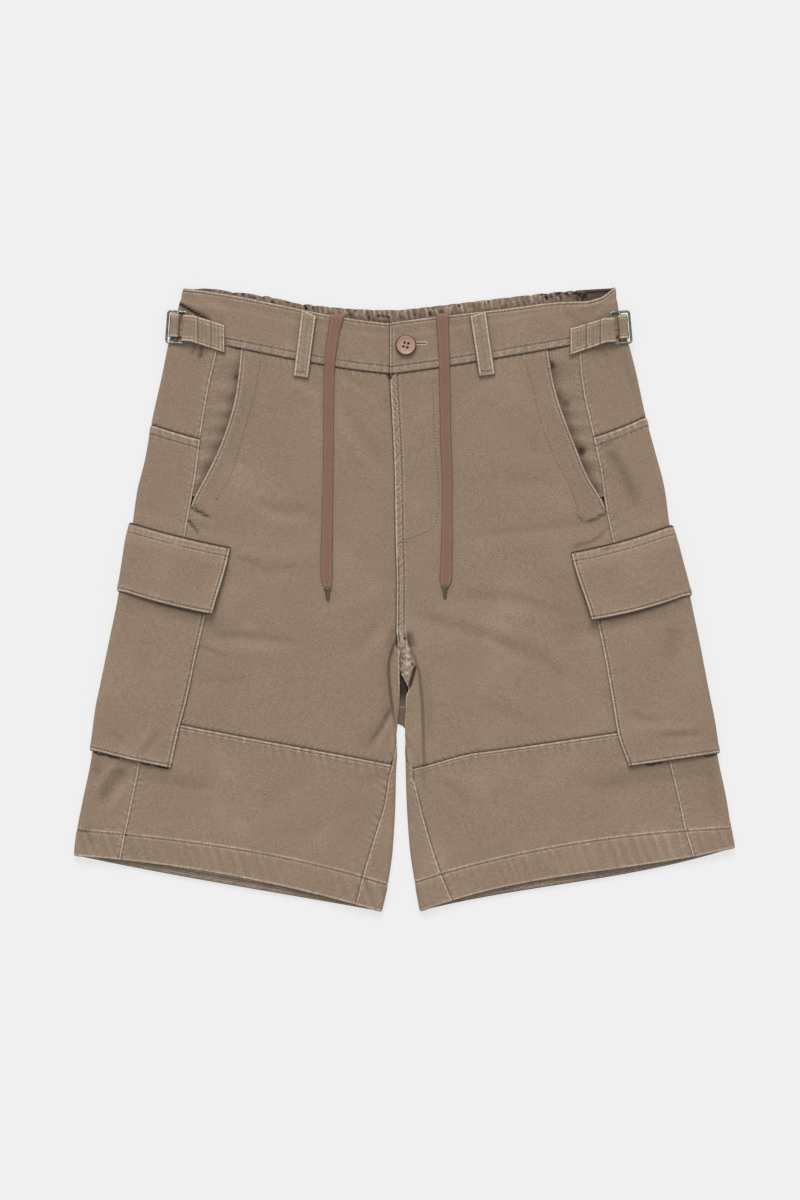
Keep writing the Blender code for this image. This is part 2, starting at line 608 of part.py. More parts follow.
BELT_LOOPS = {
    # top_x, top_y, bottom_x, bottom_y of the centre line, width
    "left": (-84.6, 252.5, -90.6, 194.3, 12.2),
    "right": (64.4, 249.8, 72.3, 195.8, 13.2),
}


def belt_loop(side):
    x0, y0, x1, y1, width = BELT_LOOPS[side]
    share = np.linspace(0, 1, 11)
    centre = np.array([x0, y0]) + share[:, None] * np.array([x1 - x0, y1 - y0])
    way = np.array([x1 - x0, y1 - y0]) / math.hypot(x1 - x0, y1 - y0)
    across = np.array([-way[1], way[0]]) * width / 2
    arch = 0.45 + 1.1 * np.sin(np.pi * share) ** 0.6
    grid = centre[:, None] + np.linspace(-1, 1, 4)[None, :, None] * across
    low = on_front(side, grid[..., 0], grid[..., 1], 0.0)[..., 2].max(axis=1) + arch
    low = np.broadcast_to(low[:, None], grid.shape[:2])
    lining = np.concatenate([grid, low[..., None]], -1)
    face = np.concatenate([grid, low[..., None] + 1.4], -1)
    slab("belt_loop_" + side, face, lining)


BUCKLES = {
    # centre_x, centre_y, height of its middle, turn and slope in degrees
    "left": (-199.3, 237.6, 8.4, -4.0, 9.0),
    "right": (189.4, 237.4, 8.4, 5.0, 9.0),
}
BUCKLE_SIZE = (19.0, 29.5)
BUCKLE_BAR = 2.2
BUCKLE_WALL = 1.7


def buckle_place(side, points):
    """Points of a buckle, whose own +X is outward, put where it lies."""
    x, y, z, turn, slope = BUCKLES[side]
    points = np.asarray(points, float).copy()
    a = math.radians(slope)
    tilted = np.stack([points[..., 0] * math.cos(a) + points[..., 2] * math.sin(a),
                       points[..., 1],
                       points[..., 2] * math.cos(a) - points[..., 0] * math.sin(a)], -1)
    tilted[..., 0] *= SIGN[side]
    b = math.radians(turn)
    return np.stack([x + tilted[..., 0] * math.cos(b) - tilted[..., 1] * math.sin(b),
                     y + tilted[..., 0] * math.sin(b) + tilted[..., 1] * math.cos(b),
                     z + tilted[..., 2]], -1)


def rounded(width, height, radius, count=4):
    found = []
    for k, (sx, sy) in enumerate(((1, 1), (-1, 1), (-1, -1), (1, -1))):
        for j in range(count + 1):
            angle = math.pi / 2 * (k + j / count)
            found.append((sx * (width / 2 - radius) + radius * math.cos(angle),
                          sy * (height / 2 - radius) + radius * math.sin(angle)))
    return np.array(found)


def buckle(side):
    """A frame with a bar across its middle, in one body."""
    wide, high = BUCKLE_SIZE
    half = BUCKLE_WALL / 2
    frame = rounded(wide, high, 3.0)
    hole_w = (wide - 3 * BUCKLE_BAR) / 2
    hole_h = high - 2 * BUCKLE_BAR
    made = []
    for dx in (-(hole_w + BUCKLE_BAR) / 2, (hole_w + BUCKLE_BAR) / 2):
        made.append(rounded(hole_w, hole_h, 1.2) + np.array([dx, 0.0]))
    flat = bmesh.new()
    loops = []
    for line in [frame] + made:
        corners = [flat.verts.new((x, y, -half)) for x, y in line]
        loops += [flat.edges.new((a, b)) for a, b in zip(corners, corners[1:] + corners[:1])]
    bmesh.ops.triangle_fill(flat, use_beauty=True, use_dissolve=False, edges=loops)
    grown = bmesh.ops.extrude_face_region(flat, geom=list(flat.faces))
    top = [v for v in grown["geom"] if isinstance(v, bmesh.types.BMVert)]
    bmesh.ops.translate(flat, verts=top, vec=(0, 0, BUCKLE_WALL))
    flat.verts.index_update()
    points = np.array([v.co[:] for v in flat.verts])
    faces = [[v.index for v in f.verts] for f in flat.faces]
    flat.free()
    body("buckle_" + side, buckle_place(side, points), faces, "metal")


TABS = {
    # inner end: x, y top, y bottom; y top and y bottom on the buckle's inner bar
    "left": (-157.6, 239.3, 215.6, 248.2, 229.6),
    "right": (145.3, 236.4, 213.6, 245.4, 228.4),
}


def tab(side):
    """Sewn on the waistband at its inner end, folded round the buckle's inner bar."""
    x0, top0, low0, top1, low1 = TABS[side]
    sign = SIGN[side]
    share = np.linspace(0, 1, 7)[:-1]
    bar = (BUCKLE_SIZE[0] - BUCKLE_BAR) / 2
    over = BUCKLE_WALL / 2 + 0.4
    reach = BUCKLE_BAR / 2 + 0.45
    y = np.array([low1, (low1 + top1) / 2, top1]) - BUCKLES[side][1]
    folded = [buckle_place(side, np.stack([np.full(3, -bar + dx), y, np.full(3, z)], -1))
              for dx, z in ((-reach, over - 0.1), (0.0, over + 0.1), (reach * 0.8, over - 0.4),
                            (reach, 0.0))]
    bar_x = folded[0][:, 0]
    rise = folded[0][:, 2]
    rows = []
    for k in share:
        x = x0 + (bar_x - x0) * k
        low = low0 + (low1 - low0) * k
        top = top0 + (top1 - top0) * k
        y = np.array([low, (low + top) / 2, top])
        ground = on_front(side, x, y, 0.0)[:, 2].max() + 0.35
        z = ground + (rise - ground) * smooth((k - 0.45) / 0.45)
        rows.append(np.stack([x, y, z], -1))
    rows += folded
    inner = np.array(rows)
    line = inner[:, 1, [0, 2]]
    along = np.gradient(line, axis=0)
    away = np.stack([-along[:, 1], along[:, 0]], -1) * sign
    away /= np.linalg.norm(away, axis=1, keepdims=True)
    outer = inner.copy()
    outer[..., 0] += 1.3 * away[:, None, 0]
    outer[..., 2] += 1.3 * away[:, None, 1]
    slab("tab_" + side, outer, inner)


STRAPS = {
    # y top and y bottom of the rear strap where it goes round the centre bar
    "left": (248.8, 229.2),
    "right": (247.8, 227.8),
}


def rear_strap(side):
    """The strap from the back, folded over the buckle's centre bar."""
    top, low = STRAPS[side]
    y = np.array([low, (low + top) / 2, top]) - BUCKLES[side][1]
    path = (
        # x, z of the inner face, then the way to the outer face
        (5.9, -1.3, 0.9, 0.0), (5.5, -0.2, 0.85, 0.3), (4.2, 1.2, 0.5, 0.75),
        (1.4, 1.7, 0.1, 0.9), (-0.8, 1.4, -0.5, 0.75), (-1.6, 0.5, -0.9, 0.1),
        (-1.7, -0.3, -0.9, 0.0),
    )
    inner = np.array([[(x, k, z) for k in y] for x, z, _, _ in path])
    outer = inner + np.array([[(dx, 0.0, dz)] for _, _, dx, dz in path])
    slab("strap_" + side, buckle_place(side, outer), buckle_place(side, inner))


# ---------- drawcords ----------
CORDS = {
    # x, y, width of the flat cord down the front, from the waistband's top edge
    "left": ((-59.0, 248.5, 12.0), (-61.5, 235.0, 10.6), (-65.9, 195.8, 9.4),
             (-66.7, 112.7, 8.8), (-68.2, 22.6, 10.4), (-67.2, 8.0, 6.0)),
    "right": ((33.0, 248.3, 11.0), (34.9, 209.0, 9.6), (36.2, 136.3, 9.4),
              (37.5, 107.5, 9.2), (37.3, 63.7, 9.4), (36.2, 16.5, 10.6), (35.4, 9.6, 5.6)),
}
AGLET_LENGTH = 10.5
AGLET_WIDTH = 4.6
AGLET_WALL = 2.6


def cord_route(side):
    """The centre line of a cord and its width, from inside the waistband to its tip."""
    table = np.array(CORDS[side])
    side_of_front = "left" if side == "left" else "right"
    y = -table[:, 1]
    down = np.linspace(-table[0, 1] + 1.5, -table[-1, 1], 34)
    x = through(y, table[:, 0], down)
    width = through(y, table[:, 2], down)
    over = on_front(side_of_front, x, -down, GAP + CORD_WALL / 2 + 0.05)
    x0, y0 = table[0, :2]
    band = 7.0
    edge = y0
    bend = [(x0, edge - 13.0, 3.85), (x0, edge - 8.0, 3.85), (x0, edge - 3.0, 3.85),
            (x0, edge + 0.1, 4.0), (x0, edge + 1.15, 4.8), (x0, edge + 1.45, 6.0),
            (x0, edge + 1.05, 7.2), (x0, edge + 0.0, band + 0.95)]
    line = np.concatenate([np.array(bend), over])
    widths = np.concatenate([np.full(len(bend), table[0, 2]), width])
    return line, widths


def drawcord(side):
    line, widths = cord_route(side)
    along = np.gradient(line, axis=0)
    along[:, 0] = 0.0
    along /= np.linalg.norm(along, axis=1, keepdims=True)
    away = np.stack([np.zeros(len(line)), -along[:, 2], along[:, 1]], -1)
    away *= np.sign(away[-1, 2])
    across = np.linspace(-0.5, 0.5, 2)
    middle = line[:, None] + np.array([1.0, 0.0, 0.0]) * (across * widths[:, None])[..., None]
    half = (away * CORD_WALL / 2)[:, None, :]
    slab("drawcord_" + side, middle + half, middle - half, "cord")

    x, y, z = line[-1]
    rings = []
    for share, grow in ((0.0, 1.0), (0.3, 1.0), (0.8, 0.8), (1.0, 0.55)):
        for k in range(12):
            angle = 2 * math.pi * k / 12
            rings.append((x + grow * AGLET_WIDTH / 2 * math.cos(angle),
                          y - GAP - share * AGLET_LENGTH,
                          z + 0.4 + grow * AGLET_WALL / 2 * math.sin(angle)))
    faces = [list(range(12)), list(range(36, 48))]
    for k in range(3):
        for j in range(12):
            n = (j + 1) % 12
            faces.append([k * 12 + j, k * 12 + n, (k + 1) * 12 + n, (k + 1) * 12 + j])
    body("aglet_" + side, rings, faces, "metal")


# ---------- button ----------
BUTTON = (1.4, 221.8)
BUTTON_PROFILE = (
    # radius, height
    (0.0, 0.0), (6.0, 0.0), (8.2, 0.6), (9.0, 1.5), (8.9, 2.5), (8.1, 3.1), (6.9, 3.1),
    (6.2, 2.5), (5.2, 2.3), (0.0, 2.3),
)


def button():
    x, y = BUTTON
    z = on_front("right", np.array([x]), np.array([y]), 0.4)[0, 2]
    work = bmesh.new()
    rings = []
    count = 24
    for radius, height in BUTTON_PROFILE:
        if radius == 0:
            rings.append([work.verts.new((0, 0, height))])
            continue
        rings.append([work.verts.new((radius * math.cos(2 * math.pi * k / count),
                                      radius * math.sin(2 * math.pi * k / count), height))
                      for k in range(count)])
    for above, below in zip(rings, rings[1:]):
        for k in range(count):
            n = (k + 1) % count
            a = above[0:1] if len(above) == 1 else [above[k], above[n]]
            b = below[0:1] if len(below) == 1 else [below[n], below[k]]
            work.faces.new(a + b)
    bmesh.ops.recalc_face_normals(work, faces=work.faces)
    disc = bpy.data.meshes.new("disc")
    work.to_mesh(disc)
    work.free()
    work = bmesh.new()
    for dx, dy in ((1.9, 1.9), (-1.9, 1.9), (-1.9, -1.9), (1.9, -1.9)):
        made = bmesh.ops.create_cone(work, cap_ends=True, segments=8, radius1=0.95,
                                     radius2=0.95, depth=8.0)
        bmesh.ops.translate(work, verts=made["verts"], vec=(dx, dy, 2.0))
    holes = bpy.data.meshes.new("holes")
    work.to_mesh(holes)
    work.free()
    disc_object = bpy.data.objects.new("disc", disc)
    holes_object = bpy.data.objects.new("holes", holes)
    for made in (disc_object, holes_object):
        bpy.context.collection.objects.link(made)
    cut = disc_object.modifiers.new("holes", "BOOLEAN")
    cut.operation = "DIFFERENCE"
    cut.solver = "EXACT"
    cut.object = holes_object
    bpy.context.view_layer.update()
    result = disc_object.evaluated_get(bpy.context.evaluated_depsgraph_get()).to_mesh()
    points = np.array([v.co[:] for v in result.vertices])
    faces = [list(f.vertices) for f in result.polygons]
    for made in (disc_object, holes_object):
        bpy.data.objects.remove(made, do_unlink=True)
    body("button", points + np.array([x, y, z]), faces, "plastic")


def build():
    for old in list(bpy.data.objects):
        bpy.data.objects.remove(old, do_unlink=True)
    for side in ("left", "right"):
        front_panels(side)
        back_panels(side)
        facings(side)
        front_band(side)
        hems(side)
        cargo_pocket(side)
        pocket_flap(side)
        belt_loop(side)
        buckle(side)
        tab(side)
        rear_strap(side)
        drawcord(side)
    back_band()
    button()


build()
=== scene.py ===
# %% [markdown]
# # Cargo shorts, laid flat
#
# Garment-washed cotton shorts lie on their back with the front upward. Every cloth
# piece is a grid of points that follows the flattened leg, so the pieces and the solids
# that carry them share one set of tables. What makes them look sewn comes on top:
# rolled edges, laps, puckers, threads and a woven finish.
# %% Load the solids
import math

import bmesh
import bpy
import numpy as np
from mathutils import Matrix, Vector
from mathutils.bvhtree import BVHTree


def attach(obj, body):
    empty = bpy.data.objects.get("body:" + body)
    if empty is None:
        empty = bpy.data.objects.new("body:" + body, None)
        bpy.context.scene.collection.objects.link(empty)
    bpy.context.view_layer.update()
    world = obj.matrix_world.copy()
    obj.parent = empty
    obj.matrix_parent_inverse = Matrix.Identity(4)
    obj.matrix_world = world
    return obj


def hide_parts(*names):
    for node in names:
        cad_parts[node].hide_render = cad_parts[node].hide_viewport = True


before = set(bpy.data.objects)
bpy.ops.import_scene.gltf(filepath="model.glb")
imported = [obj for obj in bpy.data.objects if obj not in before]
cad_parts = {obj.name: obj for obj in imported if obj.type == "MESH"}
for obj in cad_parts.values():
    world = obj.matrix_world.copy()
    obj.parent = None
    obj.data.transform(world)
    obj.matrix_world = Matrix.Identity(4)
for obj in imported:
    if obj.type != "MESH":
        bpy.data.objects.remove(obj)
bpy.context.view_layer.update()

# %% [markdown]
# ## Where the rows of each leg lie
#
# A tailor measures a garment at named heights: waist, hip, crotch, knee, hem. Each row of
# these tables is such a height, in millimetres, and the columns say where it meets the
# outer edge, the centre, the seams and the pockets. A smooth curve joins the rows.
# %% The rows
# outer, inner: where the row's front meets the outer edge and the centre or inside leg
# bend_in, bend_out: how far the row bows to the waist at a third and two thirds out
# back_x, back_y: the underside's inner end; back_in, back_out: its own bows
# fold: half width of the inside fold; seam: girth of the inside seam
# side, mouth, pocket, flap: X of the side seam, pocket mouth, pocket edge, flap edge
COLUMNS = ("outer_x", "outer_y", "inner_x", "inner_y", "bend_in", "bend_out",
           "back_x", "back_y", "back_in", "back_out", "fold", "seam",
           "side", "mouth", "pocket", "flap")

LEFT = {
    "band_top": (-193.9, 271.6, -4.6, 240.8, -3.4, 2, -3.15, 252.9, -3.5, 0, 0, 0,
                 -161, -142, -140, -136),
    "band_mid": (-198, 252, -4.6, 219.6, -3.3, 1.3, -3.15, 231, -1, 0, 0, 0, -162, -142.5, -141, -137),
    "waist": (-205, 230.8, -4.6, 197.4, -3.2, 0.6, -3.15, 207, 0, 1, 0, 0, -163.5, -143.3, -142, -138),
    "hip": (-212.5, 195.8, -2.9, 162.6, -2, -1, -3.15, 170, 0, 0, 0, 0, -171.2, -146.8, -145, -141),
    "yoke": (-222.3, 151.2, -0.5, 109.2, 0, -5.2, -3.15, 117, 0, 0, 0, 0, -179.4, -161, -149, -144),
    "mouth_low": (-227.2, 123.2, 0, 77.7, 0, -4, -3.15, 82, 0, 0, 0, 0, -182.7, -173.2, -152, -147),
    "mouth_end": (-234.4, 93.5, 0.5, 44.5, 0, -3, -3.15, 47, 0, 0, 0, 0, -188, -186.8, -155, -149.5),
    "flap_top": (-238.2, 65.5, 1.5, 16.5, 0, -3.4, -3.15, 18, 0, 0, 0, 0, -192.8, -192.8, -160, -152.5),
    "flap_low": (-247.2, 6.6, 1.1, -36, 0, -5.9, -3.15, -36, 0, 0, 0, 0,
                 -202.5, -202.5, -173.5, -167.9),
    "crotch": (-255.9, -36, -4.3, -62, 0, -5, -3.15, -62, 0, 0, 8, -0.35, -211.2, -211.2, -182, -176),
    "fork": (-264.1, -76.3, -5.3, -107.8, 0, -3, -3.15, -107.8, 0, 0, 5, -0.6,
             -219, -219, -190.5, -184),
    "knee": (-268.1, -95.6, -7.2, -147.2, 0, -1.4, -7.2, -147.2, 0, 0, 3.5, 0.001,
             -223.5, -223.5, -196.4, -190),
    "pocket_low": (-273, -132.3, -7.8, -176, 0.5, -4.2, -7.8, -176, 0, 0, 3, 0.017,
                   -231.5, -231.5, -204.4, -198),
    "shin": (-283, -181.7, -10.2, -219.8, 3, 1.5, -10.2, -219.8, 0, -0.5, 3, 0.045,
             -240.5, -240.5, -212, -205),
    "hem_stitch": (-286.9, -202.3, -14.6, -250.4, 5.6, 3.4, -14.6, -250.4, 0, -1, 3, 0.057,
                   -244.8, -244.8, -216, -209),
    "hem": (-289.7, -224.6, -20, -274, 4.3, 4.3, -20, -274, 0, -1.2, 3, 0.059, -249, -249, -220, -213),
}
RIGHT = {
    "band_top": (185, 272.4, -12.6, 241.4, 0, -4, -2.85, 252.9, 0, 1.5, 0, 0, 149, 123, 132, 128),
    "band_mid": (187, 251.8, -12.6, 219.6, -0.6, -2, -2.85, 231, 0, 1, 0, 0, 151, 124, 133, 129),
    "waist": (194.2, 230.8, -12.6, 197.4, -1.2, 0, -2.85, 207, 0, 1, 0, 0, 152.7, 125.5, 134, 130),
    "hip": (201.8, 203.7, -10.9, 162.6, -1, -3, -2.85, 170, 0, 0, 0, 0, 155.5, 131.2, 136, 132),
    "yoke": (212, 157.8, -8.5, 109.2, 0, -8.3, -2.85, 117, 0, 0, 0, 0, 166.2, 148.7, 140, 136),
    "mouth_low": (219.5, 130.2, -8, 77.7, 0, -6.5, -2.85, 82, 0, 0, 0, 0, 172, 159, 144, 139),
    "mouth_end": (228.4, 95.2, -7.5, 44.5, 0, -5, -2.85, 47, 0, 0, 0, 0, 177, 175.8, 149, 142.5),
    "flap_top": (232.6, 63.4, -6.6, 16.5, 0, -6.2, -2.85, 18, 0, 0, 0, 0, 183.5, 183.5, 153.5, 146.1),
    "flap_low": (247.3, 2.9, -6.9, -36, 0, -8.2, -2.85, -36, 0, 0, 0, 0, 196.5, 196.5, 168, 163.5),
    "crotch": (255.6, -36, -1.2, -60.6, 0, -6, -2.85, -60.6, 0, 0, 9, -0.35, 206.5, 206.5, 175, 170),
    "fork": (265.3, -86.3, 1.3, -107.8, 0, -3, -2.85, -107.8, 0, 0, 9, -0.6, 219.5, 219.5, 183, 178),
    "knee": (269.3, -106, 0.8, -142.8, -1.8, 0, 0.8, -142.8, 0, 0, 7, -0.046, 224.7, 224.7, 186.6, 182),
    "pocket_low": (273.7, -134.5, 1.7, -171.7, 0.5, -1, 1.7, -171.7, 0, 0, 5, 0.013,
                   231.9, 231.9, 196, 190),
    "shin": (281.8, -172.6, 4.4, -215.4, 4, 2.5, 4.4, -215.4, 1, -2, 4, 0.051, 240.8, 240.8, 203, 197),
    "hem_stitch": (286.4, -200.6, 9, -248, 6, 5, 9, -248, 2, -4, 3.5, 0.073, 246.5, 246.5, 207, 201),
    "hem": (289.6, -218.1, 13.8, -273.5, 7, -1.5, 13.8, -273.5, 2, -4.7, 3.5, 0.092,
            253.2, 253.2, 211, 205),
}
SHARED = {
    # the same on both legs: height of the loop, X of the right front's edge at the fly
    "height": (7, 7, 7, 6, 5, 5, 5, 5, 5, 5, 5, 5, 5, 5.2, 6, 6),
    "fly": (-12.6, -12.6, -12.6, -10.9, -8.5, -8, -7.5, -6.6, -6.9, -6, -5, -5, -5, -5, -5, -5),
}
TABLES = {"left": LEFT, "right": RIGHT}
SIGN = {"left": -1.0, "right": 1.0}

# %% [markdown]
# ## Curves that never overshoot
#
# A seam drawn through measured points has to stay between them. This interpolation keeps
# each stretch within its two knots, so no seam bulges where the table doesn't say so.
# %% Curves through the tables


def smooth(value):
    """0 below 0, 1 above 1, and a soft step between."""
    value = np.clip(value, 0.0, 1.0)
    return value * value * (3.0 - 2.0 * value)


def hump(distance, width):
    """1 at no distance, and nearly 0 beyond two widths."""
    return np.exp(-(distance / width) ** 2)


def through(knots, values, at):
    """A smooth curve through the knots that never overshoots them."""
    knots = np.asarray(knots, float)
    values = np.asarray(values, float)
    steps = np.diff(knots)
    slopes = np.diff(values) / steps
    bends = np.zeros(len(knots))
    bends[0] = slopes[0]
    bends[-1] = slopes[-1]
    same = slopes[:-1] * slopes[1:] > 0
    heavy = 2.0 * steps[1:] + steps[:-1]
    light = steps[1:] + 2.0 * steps[:-1]
    safe = np.where(same, slopes[:-1] * slopes[1:], 1.0)
    mean = (heavy + light) * safe / (heavy * slopes[1:] + light * slopes[:-1] + 1e-12)
    bends[1:-1] = np.where(same, mean, 0.0)
    at = np.clip(at, knots[0], knots[-1])
    i = np.clip(np.searchsorted(knots, at, side="right") - 1, 0, len(steps) - 1)
    h = steps[i]
    u = (at - knots[i]) / h
    return (values[i] * (1 + 2 * u) * (1 - u) ** 2
            + bends[i] * h * u * (1 - u) ** 2
            + values[i + 1] * u * u * (3 - 2 * u)
            + bends[i + 1] * h * u * u * (u - 1))


def distances(table):
    """How far down the outer edge each row is, by its name."""
    rows = list(table)
    found = {rows[0]: 0.0}
    for above, below in zip(rows, rows[1:]):
        found[below] = found[above] + math.hypot(table[below][0] - table[above][0],
                                                 table[below][1] - table[above][1])
    return found


AT = {name: distances(table) for name, table in TABLES.items()}


def column(side, name, t):
    """A measure of the table at any distance down the leg."""
    values = SHARED.get(name) or [row[COLUMNS.index(name)] for row in TABLES[side].values()]
    found = through(list(AT[side].values()), values, t)
    if (side, name) == ("left", "seam"):
        below = t - AT[side]["knee"]
        low = smooth((below - 40.0) / 80.0)
        found = found + (0.004 + 0.012 * low) * smooth((below + 4.0) / 22.0)
    if (side, name) == ("right", "seam"):
        below = t - AT[side]["knee"]
        found = found + 0.0075 * smooth(below / 8.0) * (1 - smooth((below - 18.0) / 28.0))
    return found


print("outseam from the waistband to the hem:",
      {side: round(at["hem"]) for side, at in AT.items()}, "mm")

# %% [markdown]
# ## Uneven cloth
#
# Washed cotton is never flat, and nothing on it repeats. Two kinds of seeded noise stand
# for that: soft hills in two directions, and ribs along a seam whose pitch and height
# wander.
# %% Hills and ribs
LATTICES = {}


def hills(x, y, pitch, seed):
    """Soft random hills about a pitch apart, from -1 to 1."""
    if seed not in LATTICES:
        LATTICES[seed] = np.random.default_rng(seed).uniform(-1, 1, (97, 97))
    grid = LATTICES[seed]
    u, v = np.broadcast_arrays(*(np.asarray(k, float) / pitch + 400.0 for k in (x, y)))
    i, j = np.floor(u).astype(int), np.floor(v).astype(int)
    fu, fv = smooth(u - i), smooth(v - j)
    a, b, c, d = (grid[(i + p) % 97, (j + q) % 97] for p, q in ((0, 0), (1, 0), (0, 1), (1, 1)))
    return (a * (1 - fu) + b * fu) * (1 - fv) + (c * (1 - fu) + d * fu) * fv


def ribs(along, pitch, seed):
    """Ribs across a seam, uneven in pitch and height, from -1 to 1."""
    turn = along / pitch + 0.55 * hills(along, seed, 2.6 * pitch, seed)
    return np.sin(2 * np.pi * turn) * (0.65 + 0.35 * hills(along, seed + 5.0, 1.7 * pitch, seed))


print("the hills lie between -1 and 1, and so do the ribs")

# %% [markdown]
# The main creases could come from a cloth simulation, but these shorts lie still and
# their creases are few. So each one is laid as a trough or a ridge along a bent line,
# from its sharp end to where it fades.
# %% Creases
CREASES = {
    # of each layer: half width, height, points from the sharp end to where it fades
    "leg": (
        (5, -0.45, (-52, 170), (-14, 106)), (5, 0.5, (-58, 156), (-17, 93)),
        (4, -0.4, (-58, 199), (-23, 175)), (4, 0.3, (-55, 191), (-18, 167)),
        (5, 0.4, (-97, 190), (-74, 170)), (5, -0.6, (-128, 86), (-109, 75), (-90, 77), (-72, 70)),
        (6, 0.35, (-125, 76), (-105, 65), (-81, 65)),
        (4, -0.4, (-148, 123), (-131, 112), (-128, 96), (-144, 85)),
        (1.7, -0.6, (-187, 80), (-168, 70)), (2.4, 0.4, (-185, 74), (-174, 64)),
        (1.9, -0.55, (-189, 69), (-179, 56)), (2, -0.4, (-181, 65), (-162, 53)),
        (6, -0.6, (-148, 34), (-120, 23), (-74, 28)), (7, 0.3, (-147, 44), (-125, 37), (-91, 37)),
        (1.7, -0.35, (-151, 40), (-133, 51)), (2, -0.45, (-151, 37), (-123, 28)),
        (8, 0.4, (-11, 9), (-74, -15)), (5, -0.75, (-171, -33), (-128, -35), (-85, -40)),
        (7, 0.35, (-168, -43), (-125, -46), (-91, -49)), (5, 0.25, (-166, -25), (-125, -26)),
        (2.5, -0.4, (-181, -42), (-155, -52)), (5, -0.3, (-187, -74), (-125, -70)),
        (6, -0.5, (-23, -23), (-50, -54)), (6, 0.35, (-16, -31), (-42, -61)),
        (5, -0.9, (-13, -94), (-21, -112), (-38, -137)), (4, 0.55, (-12, -108), (-27, -138)),
        (3, -0.9, (-9, -27), (-13, -54)), (6, -0.65, (8, -15), (71, -33), (122, -54), (165, -93)),
        (8, 0.35, (12, -5), (71, -21), (126, -41), (171, -80)),
        (6, -0.5, (48, 2), (99, -1), (157, -19)), (7, 0.25, (50, 12), (99, 9), (149, -4)),
        (6, -0.45, (75, -93), (130, -121)), (3, -1, (4, -31), (11, -51)),
        (4, -0.35, (171, 68), (138, 63), (48, 53)), (6, 0.25, (169, 59), (136, 52), (48, 44)),
        (5, 0.4, (71, 186), (43, 150)), (9, -0.4, (87, 104), (130, 104)),
        (5, -0.4, (110, 142), (116, 123)), (4.5, -1, (177, 131), (190, 113), (201, 88), (206, 73)),
        (4, 0.5, (174, 123), (187, 102), (196, 79)), (3, -0.5, (171, 133), (185, 134)),
        (4, -0.8, (190, 216), (201, 186), (207, 170)), (1.8, 0.3, (215, 139), (224, 104), (230, 71)),
        (1.6, 0.25, (50, 134), (50, 100), (48, 58)), (7, -0.3, (-82, -152), (-144, -199)),
        (6, -0.3, (-42, -180), (-101, -218)), (6, -0.4, (-11, -152), (-46, -167)),
        (5, -1.3, (-245, -150), (-258, -167), (-269, -185)),
        (4, 0.8, (-256, -145), (-266, -159), (-275, -176)), (4, 0.4, (-247, -169), (-261, -190)),
        (4, -0.7, (-275, -218), (-280, -197)), (1.6, -0.45, (-275, -204), (-280, -181)),
        (5, -0.5, (36, -159), (59, -187)), (5, 0.25, (29, -167), (50, -195)),
        (7, -0.4, (189, -172), (149, -159)), (6, -0.8, (267, -150), (274, -201)),
        (2.5, -0.3, (-196, 128), (-196, 85)), (4, -0.3, (-209, 196), (-209, 156)),
        (2, -0.5, (-181, 221), (-177, 207)), (2.2, 0.45, (-186, 221), (-182, 207)),
        (1.8, -0.45, (-173, 218), (-175, 202)), (3, -0.45, (174, 216), (182, 198)),
        (3, -0.35, (164, 216), (169, 200)),
    ),
    "band": (
        (1.7, -1.5, (-196, 259), (-185, 251), (-167, 244)), (5, 0.6, (-182, 263), (-151, 246)),
        (3.5, -0.5, (-151, 216), (-161, 231)), (4, -0.25, (-48, 235), (-19, 207)),
        (4, 0.3, (153, 226), (118, 253)), (4, -0.3, (162, 235), (133, 256)),
        (4, 0.35, (182, 261), (162, 242)), (3, -0.3, (42, 242), (52, 218)),
    ),
    "pocket_left": (
        (3, -0.6, (-258, -117), (-242, -129)), (3.5, -0.7, (-230, -138), (-210, -112)),
        (4, 0.4, (-237, -135), (-218, -110)), (9, 0.4, (-256, -45), (-263, -96)),
        (8, -0.35, (-223, -36), (-231, -89)),
    ),
    "pocket_right": (
        (7, -0.9, (236, -26), (232, -64)), (3.5, -0.6, (197, -103), (228, -109)),
        (3, -0.7, (259, -119), (220, -121)), (4, 0.5, (252, -113), (206, -115)),
        (3, -0.3, (176, -68), (199, -62)), (9, 0.45, (250, -36), (253, -89)),
    ),
    "flap_left": (
        (9, 0.4, (-205, 34), (-214, 8)), (7, -0.3, (-174, 32), (-182, -1)),
    ),
    "flap_right": (
        (8, 0.35, (206, 34), (213, 2)), (6, -0.3, (176, 25), (185, -6)),
    ),
}


def furrow(x, y, points, width):
    """1 along a bent line, fading to its sides and towards its far end."""
    points = np.array(points, float)
    spans = np.linalg.norm(np.diff(points, axis=0), axis=1)
    found = np.zeros(x.shape)
    low = points.min(axis=0) - 3 * width
    high = points.max(axis=0) + 3 * width
    near = (x > low[0]) & (x < high[0]) & (y > low[1]) & (y < high[1])
    if not near.any():
        return found
    px, py = x[near], y[near]
    best = np.full(px.shape, 1e9)
    share = np.zeros(px.shape)
    done = 0.0
    for (ax, ay), (bx, by), span in zip(points, points[1:], spans):
        u = np.clip(((px - ax) * (bx - ax) + (py - ay) * (by - ay)) / span ** 2, 0, 1)
        off = (px - ax - u * (bx - ax)) ** 2 + (py - ay - u * (by - ay)) ** 2
        share = np.where(off < best, (done + u * span) / spans.sum(), share)
        best = np.minimum(best, off)
        done += span
    found[near] = (np.exp(-best / width ** 2) * smooth(share / 0.2 + 0.35)
                   * smooth((1 - share) / 0.45 + 0.1))
    return found


STRIPS = (
    # half width, height, points of the two soft strips beside the gap below the crotch
    (3.2, 0.9, (-8, -38), (-9.2, -50), (-9.2, -66), (-8.3, -88), (-7.2, -112)),
    (4.2, 0.9, (9, -58), (9.8, -70), (9.8, -90), (9.8, -112), (9.8, -150)),
)


